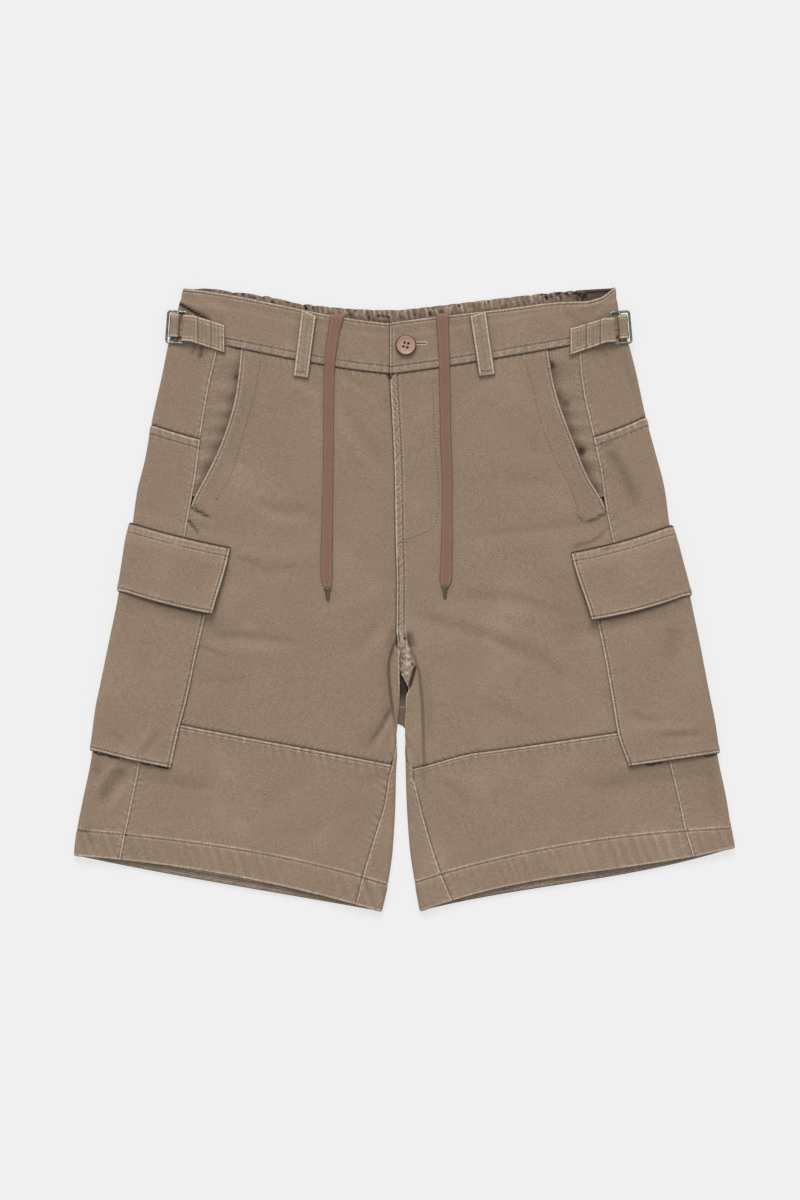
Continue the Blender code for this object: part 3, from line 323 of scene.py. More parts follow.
def relief(layer, x, y):
    """Height of the cloth's unevenness; the broad part is shared by all layers."""
    stiff = 0.45 if layer == "band" else 1.0
    total = 0.7 * hills(x, y, 62, 1) + stiff * (0.32 * hills(x, y, 24, 2)
                                                + 0.09 * hills(x + 0.4 * y, y, 9, 3))
    for width, height, *points in CREASES.get(layer, ()):
        total = total + 1.65 * height * furrow(x, y, points, width)
    if layer == "leg":
        for width, height, *points in STRIPS:
            total = total + height * furrow(x, y, points, width)
    return total


print(sum(map(len, CREASES.values())), "creases laid by hand")

# %% [markdown]
# Where a fold closes, the cloth shows a line of shade finer than its form. Such lines are
# stored on the mesh as painted shade, and the ridges of the creases as painted highlight.
# %% Sharp folds
FOLD_SHADE = {
    # of each layer: half width, depth of painted shade, points of a dark fold line
    "leg": (
        (1.2, 0.5, (-6.9, -34), (-11, -44.8), (-13.7, -55.7), (-13.9, -66.7), (-12.8, -77.6),
         (-11.5, -88.6), (-9.3, -102.6), (-7.5, -120)),
        (4, 0.12, (-9, -36), (-15.5, -55.7), (-15.7, -66.7), (-14.5, -84), (-12, -104)),
        (1.2, 0.42, (2.7, -30), (4.9, -41.3), (9.3, -52.7), (12.6, -62.3), (14.2, -77.6), (15.8, -93.8),
         (16.3, -110), (16.9, -132), (17.5, -175)),
        (3, 0.3, (3.5, -29), (5.5, -36), (8.5, -43)), (4, 0.1, (16, -62), (20, -92), (21, -130)),
        (1.3, 1, (9.4, -58.5), (9.2, -60), (7.4, -67), (5.4, -74), (3.4, -81)),
        (0.9, 1, (-3.9, -51.2), (-3.4, -51.8), (-3, -52.6)), (1, 0.8, (-187, 80.3), (-168, 69.8)),
        (1, 0.7, (-189.4, 69), (-178.9, 55.8)), (2, 0.6, (-176.5, 221), (-179.5, 209)),
        (1.6, 0.45, (-184, 222), (-186, 213)), (1.2, 0.4, (-287.5, -201.7), (-275.1, -204.9)),
        (1.2, 0.9, (-14.4, 198), (-11.4, 191)), (1.6, 0.35, (-12, -96), (-21, -113), (-33, -130)),
        (1, 0.75, (177.5, 76), (168, 70.3), (157, 66.3)), (0.9, 0.45, (151, 74), (157.5, 67)),
        (1.2, 0.4, (147, 45.5), (163, 50), (171, 54.5), (179, 65)),
        (6.5, 0.14, (177, 128), (197, 98), (206, 76)),
        (5, 0.1, (-247, -148), (-258, -163), (-266, -180)), (3.5, 0.16, (-271, -146), (-266, -156)),
    ),
    "facing": (
        (3, 0.6, (127, 207), (131, 201)), (3.2, 0.6, (153, 131), (159, 127)),
        (2.2, 0.45, (-143, 196), (-150, 192)), (2.6, 0.4, (140, 172), (146, 168)),
    ),
}


def fold_shade_and_highlight(layer, x, y):
    """Painted shade in the sharp folds and troughs, and painted highlight on the ridges."""
    dark, pale = np.zeros(x.shape), np.zeros(x.shape)
    for width, depth, *points in FOLD_SHADE.get(layer, ()):
        dark = dark + depth * np.minimum(1.7 * furrow(x, y, points, width), 1.0)
    for width, height, *points in CREASES.get(layer, ()):
        # Crease troughs are painted darker and ridges paler, whatever way the light falls.
        tone = furrow(x, y, points, 0.8 * width)
        dark = dark + 0.13 * max(-height, 0.0) * tone
        pale = pale + 0.10 * max(height, 0.0) * tone
    return dark, pale


print(sum(map(len, FOLD_SHADE.values())), "sharp folds laid by hand")

# %% [markdown]
# ## The flattened leg
#
# Pressed flat, a trouser leg is a closed loop in every row: the front, the fold along the
# outer edge, the back underneath, and the fold along the inside leg. A girth from 0 to 4
# names a point on that loop, and every cloth piece is a range of rows and girths.
# %% A row from above
CLOTH = 1.1             # wall of the legs
BAND = 1.7              # waistband, two layers
OUTER_FOLD = 4.0        # half width of the fold along the outer edge
POCKET_TOP_DROP = 18.0  # how far the cargo pocket starts below its flap's top
POCKET_FACE = 2.6       # heights of the pocket and the flap above the leg
FLAP_FACE = 4.5
LIFT_REACH = (92.0, 116.0)  # where the layers under the leg end, from the outer edge


def lift(side, t):
    """How far the cargo pocket's layers under the leg raise it, along the outer edge."""
    at = AT[side]
    knots = (at["flap_top"] - 14, at["flap_top"], at["flap_top"] + POCKET_TOP_DROP,
             at["flap_low"], at["flap_low"] + 15, at["pocket_low"], at["pocket_low"] + 18)
    return through(knots, (0.0, 1.9, FLAP_FACE, FLAP_FACE, POCKET_FACE, POCKET_FACE, 0.0), t)


def plan(side, t):
    """A row seen from above: the ends of its front and back, and its folds."""
    ends = {name: np.stack([column(side, name + "_x", t), column(side, name + "_y", t)], -1)
            for name in ("outer", "inner", "back")}
    way = ends["outer"] - ends["inner"]
    way = way / np.linalg.norm(way, axis=-1, keepdims=True)
    fold = column(side, "fold", t)
    back_fold = fold * smooth((t - AT[side]["fork"]) / 8.0)
    return {"way": way, "fold": fold, "back_fold": back_fold, "outer_x": ends["outer"][..., 0],
            "front_in": ends["inner"] + way * fold[..., None],
            "front_out": ends["outer"] - way * OUTER_FOLD,
            "back_in": ends["back"] + way * back_fold[..., None]}


def bump(s, first, second):
    return 6.75 * s * (1 - s) * (first * (1 - s) + second * s)


def front_share(side, t, x):
    """Where on a row's front an X lies, 0 at the inside fold and 1 at the outer one."""
    row = plan(side, t)
    start = row["front_in"][..., 0]
    return (x - start) / (row["front_out"][..., 0] - start)


def front_length(side, t):
    row = plan(side, t)
    return np.linalg.norm(row["front_out"] - row["front_in"], axis=-1)


def back_length(side, t):
    row = plan(side, t)
    return np.linalg.norm(row["front_out"] - row["back_in"], axis=-1)


def raised_part(row, x):
    return 1.0 - smooth((np.abs(row["outer_x"] - x) - LIFT_REACH[0])
                        / (LIFT_REACH[1] - LIFT_REACH[0]))


print("the left leg's front is", round(float(front_length("left", AT["left"]["knee"]))),
      "mm wide at the knee")

# %% [markdown]
# The loop is put together from its four stretches. Both folds are half circles squashed
# to the leg's height, so that the cloth turns over an edge instead of ending there.
# %% The loop


def leg(side, t, girth, out=0.0, drop=None, layer="leg"):
    """Points of a leg's loop at rows t and girths, moved out of it by out."""
    t, girth, out = np.broadcast_arrays(np.asarray(t, float), girth, out)
    row = plan(side, t)
    height = column(side, "height", t)
    raised = lift(side, t)
    s = np.clip(girth, 0.0, 1.0)
    flat = row["front_in"] + (row["front_out"] - row["front_in"]) * s[..., None]
    x = flat[..., 0]
    y = flat[..., 1] + bump(s, column(side, "bend_in", t), column(side, "bend_out", t))
    length = np.linalg.norm(row["front_out"] - row["front_in"], axis=-1)
    fade = smooth((1 - s) * length / 9.0 + 0.12) * smooth(s * length / 6.0 + 0.2)
    top = height + raised * raised_part(row, x) + relief(layer, x, y) * fade + out
    if drop is not None:
        top = top - drop(side, t, x)
    points = np.stack([x, y, top], -1)

    turn = np.pi / 2 - (np.clip(girth, 1.0, 2.0) - 1.0) * np.pi
    rim = row["front_out"] + row["way"] * ((OUTER_FOLD + out) * np.cos(turn))[..., None]
    edge = fade * relief(layer, x, y) * (0.5 + 0.5 * np.sin(turn))
    rim_z = raised + height / 2 + (height / 2 + out) * np.sin(turn) + edge
    points = np.where((girth > 1)[..., None], np.concatenate([rim, rim_z[..., None]], -1), points)

    b = np.clip(3.0 - girth, 0.0, 1.0)
    flat = row["back_in"] + (row["front_out"] - row["back_in"]) * b[..., None]
    y = flat[..., 1] + bump(b, column(side, "back_in", t), column(side, "back_out", t))
    low = np.stack([flat[..., 0], y, raised * raised_part(row, flat[..., 0]) - out], -1)
    points = np.where((girth >= 2)[..., None], low, points)

    inside = np.where(girth > 3, girth - 4.0, girth)
    turn = np.pi / 2 - np.clip(inside, -1.0, 0.0) * np.pi
    centre = np.where((girth > 3)[..., None], row["back_in"], row["front_in"])
    half = np.where(girth > 3, row["back_fold"], row["fold"])
    rim = centre + row["way"] * ((half + out) * np.cos(turn))[..., None]
    rim_z = height / 2 + (height / 2 + out) * np.sin(turn) + edge_height(row, inside, layer)
    if drop is not None:
        rim_z = rim_z - np.where(girth < 0, drop(side, t, row["front_in"][..., 0]), 0.0)
    points = np.where(((girth < 0) | ((girth > 3) & (girth < 4)))[..., None],
                      np.concatenate([rim, rim_z[..., None]], -1), points)
    again = girth >= 4
    if again.any():
        over = leg(side, t, np.where(again, girth - 4.0, 0.0), out, drop, layer)
        points = np.where(again[..., None], over, points)
    return points


def edge_height(row, inside, layer):
    """The relief at the inside fold, so that the fold meets the front without a step."""
    x, y = row["front_in"][..., 0], row["front_in"][..., 1]
    return 0.104 * relief(layer, x, y) * np.clip(1.0 + inside, 0.0, 1.0)


print("girths: 0 and 4 inside fold, 1 to 2 outer fold, 2 to 3 underside")

# %% [markdown]
# Some cloth lies deeper than the loop: the left side under the fly, and the facings in
# the pocket mouths. And what is sewn on needs a place over the front, found by halving.
# %% Drops and places


def fly_drop(side, t, x):
    """The left side lies under the right one at the fly."""
    if side == "right":
        return np.zeros(np.shape(x))
    wall = BAND + (CLOTH - BAND) * smooth((t - AT[side]["waist"] - 3.0) / 15.0)
    near = smooth((x - column(side, "fly", t) + 14.0) / 10.0)
    return (wall + 0.35) * near * (1.0 - smooth((t - AT[side]["crotch"] + 36.0) / 12.0))


def facing_drop(side, t, x):
    """A pocket facing goes down from the side seam to pass under the front panel."""
    seam = column(side, "side", t)
    return (CLOTH + 0.35) * smooth((seam - x) / (seam - column(side, "mouth", t)))


def row_at(side, x, y):
    """The row through a point of the front, by halving."""
    low = np.zeros(np.shape(x))
    high = np.full(np.shape(x), AT[side]["hem"])
    for _ in range(26):
        middle = (low + high) / 2
        s = np.clip(front_share(side, middle, x), 0.0, 1.0)
        above = leg(side, middle, s)[..., 1] > y
        low = np.where(above, middle, low)
        high = np.where(above, high, middle)
    return (low + high) / 2


def on_front(side, x, y, out):
    """A point above the front, out millimetres off its face."""
    x, y, out = np.broadcast_arrays(np.asarray(x, float), y, out)
    t = row_at(side, x, y)
    s = np.clip(front_share(side, t, x), 0.0, 1.0)
    return np.stack([x, y, leg(side, t, s)[..., 2] + out], -1)


centre_front = on_front("right", np.array([0.0]), np.array([100.0]), 0.0)[0]
print("the front lies", round(float(centre_front[2]), 1), "mm above the table at the fly")

# %% [markdown]
# ## Camera and floor
#
# The shorts are looked at from straight above, through a long lens, so the legs keep
# their true outline. The floor is a plain pale sheet.
# %% Camera and floor
VIEW_X, VIEW_Y = -0.00385, -0.00105
VIEW_HEIGHT = 3.008
VIEW_TALL = 1.05        # metres of floor from the top of the view to its bottom

camera_data = bpy.data.cameras.new("camera")
camera_data.sensor_width = 36.0
camera_data.lens = 36.0 * 3.0 / VIEW_TALL
camera = bpy.data.objects.new("camera", camera_data)
camera.location = (VIEW_X, VIEW_Y, VIEW_HEIGHT)
bpy.context.collection.objects.link(camera)
bpy.context.scene.camera = camera

floor_mesh = bpy.data.meshes.new("floor")
floor_mesh.from_pydata([(-6, -6, 0), (6, -6, 0), (6, 6, 0), (-6, 6, 0)], [], [(0, 1, 2, 3)])
floor = bpy.data.objects.new("floor", floor_mesh)
floor.location.z = -0.0004
bpy.context.collection.objects.link(floor)
print("camera", VIEW_HEIGHT, "m up, lens", round(camera_data.lens, 1), "mm")

# %% [markdown]
# ## Finishes
#
# A finish is a small network of nodes. The cotton is a washed twill: fine diagonal ribs
# a little under a millimetre apart, slubs, and soft patches where the dye has faded.
# Two values stored on the mesh steer it: one pales the ridges of seams and creases, as
# worn cloth and as painted highlight, and the other is painted shade, dark where the
# cloth is tucked in, folded or under an edge.
# %% A small kit for materials


def new_material(name, colour, rough, metal=0.0, **sockets):
    made = bpy.data.materials.new(name)
    made.use_nodes = True
    shader = made.node_tree.nodes["Principled BSDF"]
    shader.inputs["Base Color"].default_value = (*colour, 1.0)
    shader.inputs["Roughness"].default_value = rough
    shader.inputs["Metallic"].default_value = metal
    for socket, value in sockets.items():
        shader.inputs[socket.replace("_", " ")].default_value = value
    return made, made.node_tree, shader


def add_node(tree, kind, settings=None, **inputs):
    """A node with its settings, and its inputs set or linked by name or by place."""
    made = tree.nodes.new(kind)
    for name, value in (settings or {}).items():
        setattr(made, name, value)
    for name, value in inputs.items():
        place = int(name[1:]) if name[1:].isdigit() else name.replace("_", " ")
        socket = made.inputs[place]
        if isinstance(value, bpy.types.NodeSocket):
            tree.links.new(value, socket)
        else:
            socket.default_value = value
    return made


def maths(tree, operation, a, b=0.0, c=0.0):
    return add_node(tree, "ShaderNodeMath", {"operation": operation}, i0=a, i1=b, i2=c).outputs[0]


def blend_colour(tree, share, first, second, kind="MIX"):
    made = tree.nodes.new("ShaderNodeMix")
    made.data_type = "RGBA"
    made.blend_type = kind
    for socket, value in ((made.inputs[0], share), (made.inputs[6], first), (made.inputs[7], second)):
        if isinstance(value, bpy.types.NodeSocket):
            tree.links.new(value, socket)
        elif socket.type == "RGBA":
            socket.default_value = (*value, 1.0)
        else:
            socket.default_value = value
    return made.outputs[2]


def stretch(tree, value, low, high, to_low, to_high):
    made = add_node(tree, "ShaderNodeMapRange", None, i0=value, i1=low, i2=high, i3=to_low, i4=to_high)
    return made.outputs[0]


def placed(tree):
    """Where on the object, in metres."""
    return add_node(tree, "ShaderNodeTexCoord").outputs["Object"]


def noise(tree, where, millimetres, detail=2.0, rough=0.5):
    return add_node(tree, "ShaderNodeTexNoise", None, Vector=where, Scale=1000.0 / millimetres,
                    Detail=detail, Roughness=rough).outputs[0]


def ribbed(tree, where, millimetres, turn, waver=0.0):
    """Straight ribs a pitch apart in the plane of the floor, turned by some degrees."""
    turned = add_node(tree, "ShaderNodeMapping", None, Vector=where,
                      Rotation=(0, 0, math.radians(turn)))
    wave = add_node(tree, "ShaderNodeTexWave", {"wave_type": "BANDS", "bands_direction": "X"},
                    Vector=turned.outputs[0], Scale=1000.0 * 0.31416 / millimetres,
                    Distortion=waver, Detail=1.0)
    return wave.outputs[1]


def bumped(tree, shader, height, millimetres, strength=1.0):
    made = add_node(tree, "ShaderNodeBump", None, Height=height, Distance=millimetres / 1000.0,
                    Strength=strength)
    tree.links.new(made.outputs[0], shader.inputs["Normal"])


def stored(tree, name):
    return add_node(tree, "ShaderNodeAttribute", {"attribute_name": name}).outputs["Fac"]


def with_painted_shade(tree, shade, dark):
    """Darker where the stored painted shade says so."""
    return blend_colour(tree, maths(tree, "MINIMUM", stored(tree, "painted_shade"), 1.0), shade, dark)


def toned(tree, shade, tone):
    """A colour made lighter or darker by a tone."""
    grey = add_node(tree, "ShaderNodeCombineColor", None, Red=tone, Green=tone, Blue=tone).outputs[0]
    return blend_colour(tree, 1.0, shade, grey, "MULTIPLY")


print("kit ready")

# %% [markdown]
# The twill is woven of yarns that took the dye unevenly. Two crossed sets of ribs, a fine
# grain and longer slubs vary its tone and its height together.
# %% Cotton
# The first colour is the cloth's own, the second the pale of worn, faded cloth and of painted
# highlight, the third painted shade.
CLOTH_COLOUR = (0.278, 0.199, 0.140)
FADED_AND_HIGHLIGHT_COLOUR = (0.60, 0.475, 0.365)
PAINTED_SHADE_COLOUR = (0.026, 0.017, 0.012)


def cotton_finish(name, colour, faded, tucked):
    made, tree, shader = new_material(name, colour, 0.88, Sheen_Weight=0.12, Sheen_Roughness=0.45,
                                      Specular_IOR_Level=0.22)
    where = placed(tree)
    twill = ribbed(tree, where, 0.85, 62, 1.2)
    across = ribbed(tree, where, 0.7, -20, 1.0)
    grain = noise(tree, where, 1.05, 2.0, 0.6)
    slub = noise(tree, where, 4.5, 3.0, 0.6)
    patch = noise(tree, where, 60.0, 3.0, 0.55)
    weave = maths(tree, "MULTIPLY_ADD", twill, 0.6, maths(tree, "MULTIPLY", across, 0.4))
    tone = maths(tree, "ADD", stretch(tree, grain, 0.3, 0.7, -0.23, 0.23),
                 stretch(tree, slub, 0.3, 0.7, -0.045, 0.045))
    tone = maths(tree, "ADD", tone, stretch(tree, patch, 0.3, 0.7, -0.035, 0.035))
    tone = maths(tree, "ADD", tone, stretch(tree, weave, 0.0, 1.0, -0.07, 0.07))
    tone = maths(tree, "ADD", tone, 1.0)
    wear_and_highlight = maths(tree, "MULTIPLY", stored(tree, "wear_and_highlight"), stretch(tree, grain, 0.25, 0.7, 0.45, 1.15))
    faded_patch = stretch(tree, patch, 0.55, 0.8, 0.0, 0.10)
    light = maths(tree, "MINIMUM", maths(tree, "ADD", wear_and_highlight, faded_patch), 1.0)
    # Paler where worn, faded and painted with highlight; darker where painted with shade.
    shade = blend_colour(tree, light, colour, faded)
    shade = toned(tree, with_painted_shade(tree, shade, tucked), tone)
    tree.links.new(shade, shader.inputs["Base Color"])
    tree.links.new(stretch(tree, light, 0.0, 1.0, 0.9, 0.8), shader.inputs["Roughness"])
    crumple = noise(tree, where, 2.6, 3.0, 0.6)
    height = maths(tree, "MULTIPLY_ADD", weave, 0.22, maths(tree, "MULTIPLY", crumple, 0.55))
    bumped(tree, shader, height, 0.30, 0.8)
    return made


cotton = cotton_finish("cotton", CLOTH_COLOUR, FADED_AND_HIGHLIGHT_COLOUR, PAINTED_SHADE_COLOUR)
print("cotton has", len(cotton.node_tree.nodes), "nodes")

# %% [markdown]
# The sewing thread is dyed with the garment, so it differs from the cloth only by its
# gloss and a slightly deeper tone. The drawcord is a flat woven tape in a rosier brown,
# with fine lengthwise ribs, and the buckles and cord tips are dull antique metal.
# %% Thread, cord, metal and button
CORD_COLOUR = (0.238, 0.132, 0.095)


def thread_finish(name, deep, light):
    made, tree, shader = new_material(name, deep, 0.6, Sheen_Weight=0.2)
    where = placed(tree)
    uneven = stretch(tree, noise(tree, where, 5.0), 0.3, 0.7, 0.0, 1.0)
    tree.links.new(blend_colour(tree, uneven, deep, light), shader.inputs["Base Color"])
    bumped(tree, shader, ribbed(tree, where, 0.35, 35), 0.1)
    return made


def cord_finish():
    made, tree, shader = new_material("cord", CORD_COLOUR, 0.82, Sheen_Weight=0.15,
                                      Specular_IOR_Level=0.25)
    where = placed(tree)
    lengthwise = ribbed(tree, where, 1.15, 3, 0.6)
    crossed = ribbed(tree, where, 0.8, 62, 0.4)
    grain = noise(tree, where, 1.1, 2.0)
    weave = maths(tree, "MULTIPLY_ADD", lengthwise, 0.6, maths(tree, "MULTIPLY", crossed, 0.4))
    tone = maths(tree, "ADD", stretch(tree, weave, 0.0, 1.0, 0.86, 1.1),
                 stretch(tree, grain, 0.3, 0.7, -0.08, 0.08))
    # Paler ribs, worn and painted with highlight; darker edges, painted with shade.
    shade = blend_colour(tree, stored(tree, "wear_and_highlight"), CORD_COLOUR, (0.36, 0.225, 0.17))
    shade = toned(tree, with_painted_shade(tree, shade, (0.075, 0.04, 0.03)), tone)
    tree.links.new(shade, shader.inputs["Base Color"])
    bumped(tree, shader, weave, 0.22, 0.8)
    return made


def metal_finish(name, colour, dark):
    made, tree, shader = new_material(name, colour, 0.38, 1.0)
    where = placed(tree)
    stain = stretch(tree, noise(tree, where, 2.4, 3.0, 0.6), 0.35, 0.7, 0.0, 1.0)
    tree.links.new(blend_colour(tree, stain, colour, dark), shader.inputs["Base Color"])
    tree.links.new(stretch(tree, stain, 0.0, 1.0, 0.3, 0.5), shader.inputs["Roughness"])
    bumped(tree, shader, noise(tree, where, 0.5, 2.0), 0.03)
    return made


def button_finish():
    made, tree, shader = new_material("button", (0.44, 0.27, 0.20), 0.42, Specular_IOR_Level=0.45)
    where = placed(tree)
    cloud = stretch(tree, noise(tree, where, 5.0, 4.0, 0.6), 0.3, 0.7, 0.0, 1.0)
    shade = blend_colour(tree, cloud, (0.39, 0.235, 0.175), (0.48, 0.30, 0.225))
    # The dark colour is painted shade for the rim's outer wall and the holes.
    shade = with_painted_shade(tree, shade, (0.045, 0.02, 0.015))
    tree.links.new(shade, shader.inputs["Base Color"])
    tree.links.new(stretch(tree, cloud, 0.0, 1.0, 0.36, 0.5), shader.inputs["Roughness"])
    bumped(tree, shader, noise(tree, where, 0.9, 2.0), 0.03)
    return made


MATERIALS = {
    "cotton": cotton,
    "thread": thread_finish("thread", (0.25, 0.18, 0.125), (0.42, 0.32, 0.24)),
    "pale": thread_finish("pale", (0.42, 0.34, 0.26), (0.66, 0.58, 0.47)),
    "cord": cord_finish(),
    "metal": metal_finish("metal", (0.31, 0.31, 0.29), (0.10, 0.10, 0.095)),
    "tip": metal_finish("tip", (0.22, 0.18, 0.15), (0.09, 0.07, 0.055)),
    "button": button_finish(),
}
print("finishes:", ", ".join(MATERIALS))

# %% [markdown]
# ## From a grid of points to a cloth piece
#
# Every piece starts as a grid of points in millimetres. Its quads are numbered row by
# row, a second grid below gives the cloth its wall, and quads round the rim close it.
# %% Meshes


def make(name, points, faces, finish, stored_values=None, nodes=()):
    """A smooth mesh object from points in millimetres, riding with the garment."""
    mesh = bpy.data.meshes.new(name)
    mesh.from_pydata((np.asarray(points) * 0.001).tolist(), [], faces)
    for key, values in (stored_values or {}).items():
        mesh.attributes.new(key, "FLOAT", "POINT").data.foreach_set("value", values)
    work = bmesh.new()
    work.from_mesh(mesh)
    bmesh.ops.recalc_face_normals(work, faces=work.faces)
    work.to_mesh(mesh)
    work.free()
    mesh.shade_smooth()
    mesh.materials.append(MATERIALS[finish])
    made = bpy.data.objects.new(name, mesh)
    bpy.context.collection.objects.link(made)
    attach(made, "root")
    if nodes:
        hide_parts(*nodes)
    return made


def grid_faces(rows, columns, first=0, wrap=False, turned=False):
    """The quads of a grid of points, numbered row by row."""
    r, c = np.indices((rows - 1, columns if wrap else columns - 1))
    n, this, below = (c + 1) % columns, r * columns, (r + 1) * columns
    quads = np.stack([this + c, this + n, below + n, below + c], -1).reshape(-1, 4) + first
    return (quads[:, ::-1] if turned else quads).tolist()


def rim_faces(rows, columns, wrap=False):
    """Quads that join the edges of a grid to those of a second grid after it."""
    count = rows * columns
    top = [(c, (c + 1) % columns) for c in range(columns if wrap else columns - 1)]
    low = [(b + (rows - 1) * columns, a + (rows - 1) * columns) for a, b in top]
    sides = []
    if not wrap:
        sides = [((r + 1) * columns, r * columns) for r in range(rows - 1)]
        sides += [(r * columns + columns - 1, (r + 1) * columns + columns - 1) for r in range(rows - 1)]
    return [[b, a, a + count, b + count] for a, b in top + low + sides]


print("mesh helpers ready")

# %% [markdown]
# An edge is shaped as it is sewn: one that laps is raised by its turning and made paler
# along its ridge, as worn cloth and painted highlight, one that passes under dips and is
# painted with shade, and a row of stitches pulls a fine furrow, painted dark. The wall
# thins to nothing there, so that the edge looks rolled and not cut from board, and under
# some edges the lining spreads as a skirt painted with shadow. The table holds the
# measures of each kind of edge.
# %% Sewn edges


def arcs(points, axis):
    """Distance along a grid's rows or columns, from their first point."""
    steps = np.linalg.norm(np.diff(points, axis=axis), axis=-1)
    return np.concatenate([np.zeros_like(np.take(steps, [0], axis)), np.cumsum(steps, axis)], axis)


def grid_normals(points, up):
    across = np.cross(np.gradient(points, axis=1), np.gradient(points, axis=0)) * up
    return across / np.maximum(np.linalg.norm(across, axis=-1, keepdims=True), 1e-9)


EDGES = {
    # rise of the turned layers, how far they reach, pale ridge, worn and painted highlight,
    # where it is, dark line of painted shade, its width, dip, pucker,
    # skirt under the edge painted with shadow
    "lap": (0.55, 6, 1, 0.8, 0.3, 0.4, 0, 0.2, 0.45),
    "sunk": (0.5, 9, 0.6, 2, 1, 1, 0, 0.18, 0.9),
    "strip": (0.3, 3, 1.5, 0.85, 0, 0.4, 0, 0.06, 0.7),
    "drop": (0.3, 4, 1, 0.8, 0.3, 0.4, 0, 0.08, 0.95),
    "row": (0, 1, 0.6, -1.1, 0, 1, 0, 0.08, 0),
    "knee": (0.4, 3, 1, 0.9, 0.2, 0.4, 0, 0.14, 0.75),
    "below": (0, 1, 0, 1, 1.1, 1.7, 0.9, 0.16, 0),
    "side": (0.4, 3, 1, 0.8, 0, 0.4, 0, 0.16, 0.45),
    "fold": (0.3, 4, 1, 0.8, 0.3, 0.4, 0, 0.08, 0.5),
    "sewn": (0.3, 4, 1.1, 0.8, 0.3, 0.4, 0, 0.12, 0.25),
    "hem": (0.35, 20, 0.9, 0.8, 0.2, 0.4, 0, 0.1, 0.3),
    "band": (0.75, 30, 1, 0.8, 0.3, 0.4, 0, 0.08, 0.45),
    "under": (0, 1, 0, 1, 1, 1, 0.7, 0.16, 0),
    "tuck": (0, 1, 0, 1, 0.45, 1, 0.3, 0.16, 0),
    "plain": (0, 1, 0, 1, 0, 1, 0, 0, 0),
}
ROLL = 0.5
FURROW = 0.3


def shaped(piece, edges, wall, raised, wave, wear_and_highlight, painted_shade, seed):
    """Shape a grid's edges and paint them worn, highlighted and shaded; returns both faces and their
    values.
    """
    points, normals, reach, along = (piece[k] for k in ("points", "normals", "reach", "along"))
    blank = np.zeros(points.shape[:2])
    height, wave, wear_and_highlight, painted_shade = raised + blank, wave + blank, wear_and_highlight + blank, painted_shade + blank
    skirts = []
    for place, kind, stitches, *share in edges:
        rise, over, light, ridge, dark, broad, dip, pucker, skirt = EDGES[kind]
        share = share[0] if share else 1.0
        d, s = reach[place], along[place]
        seed += 7
        uneven = 1.0 + 0.4 * hills(s, seed, 12.0, seed)
        height = height + share * rise * (1 - smooth((d - over) / 4.0))
        height = height - share * dip * hump(d, 1.5)
        wave = wave + share * pucker * ribs(s + 0.4 * d, 5.6, seed) * hump(d - 2.0, 5.0)
        # The ridge is paler, worn and painted with highlight, and the line along the edge is painted
        # shade.
        wear_and_highlight = wear_and_highlight + share * light * uneven * hump(d - ridge, 0.62)
        painted_shade = painted_shade + share * dark * hump(d, broad)
        for distance in stitches:
            off = d - distance
            height = height - share * FURROW * hump(off, 0.7)
            wave = wave + share * 0.1 * ribs(s, 5.4, seed + 3) * hump(off, 2.6)
            # The stitch row is painted dark as the shade of its furrow, and paler beside it, worn and
            # painted with highlight.
            deep, pale = {"strip": (0.18, 0.3), "side": (0.3, 0.1)}.get(kind, (0.65, 0.25))
            painted_shade = painted_shade + share * deep * hump(off, 0.62)
            wear_and_highlight = wear_and_highlight + share * pale * uneven * hump(np.abs(off) - 1.4, 0.6)
        if skirt:
            skirts.append((place, skirt * (share + blank)))
    # The puckers' crests are paler, worn and painted with highlight, and their troughs painted with
    # shade.
    height, wear_and_highlight = height + wave, wear_and_highlight + 1.3 * np.clip(wave, 0, 1)
    painted_shade = painted_shade + 0.9 * np.clip(-wave, 0, 1)
    used = {place for place, *_ in edges}
    nearest = np.minimum.reduce([reach[k] for k in ("start", "end", "top", "low") if k in used]
                                or [blank + 9.0])
    full = np.sqrt(1 - (1 - np.clip(nearest / ROLL + 0.04, 0, 1)) ** 2)
    half = np.asarray(wall) / 2
    face = points + normals * (height - half + half * full)[..., None]
    lining = points + normals * (height - half - half * full)[..., None]
    # The lining is painted with the same shade, darkest on the skirt under an edge, which stands for
    # the edge's shadow.
    dark_below = painted_shade.copy()
    for place, skirt in skirts:
        edge, inner = {"start": ((slice(None), 0), (slice(None), 1)), "top": ((0,), (1,)),
                       "end": ((slice(None), -1), (slice(None), -2)), "low": ((-1,), (-2,))}[place]
        out = points[edge] - points[inner]
        out /= np.linalg.norm(out, axis=-1, keepdims=True)
        lining[edge] += (out - 0.5 * normals[edge]) * skirt[edge][..., None]
        dark_below[edge] = np.maximum(dark_below[edge], np.minimum(skirt[edge] * 3, 1))
    values = {"wear_and_highlight": np.concatenate([wear_and_highlight.ravel(), 0 * wear_and_highlight.ravel()]),
              "painted_shade": np.concatenate([painted_shade.ravel(), dark_below.ravel()])}
    return face, lining, {key: np.clip(some, 0, 1) for key, some in values.items()}


print("edges:", ", ".join(EDGES))

# %% [markdown]
# One helper makes every cloth piece. It finds how far each point lies from the four
# edges, shapes them, and adds the noise, the creases and the marks. A solid of the same
# name is replaced by it.
# %% Cloth pieces


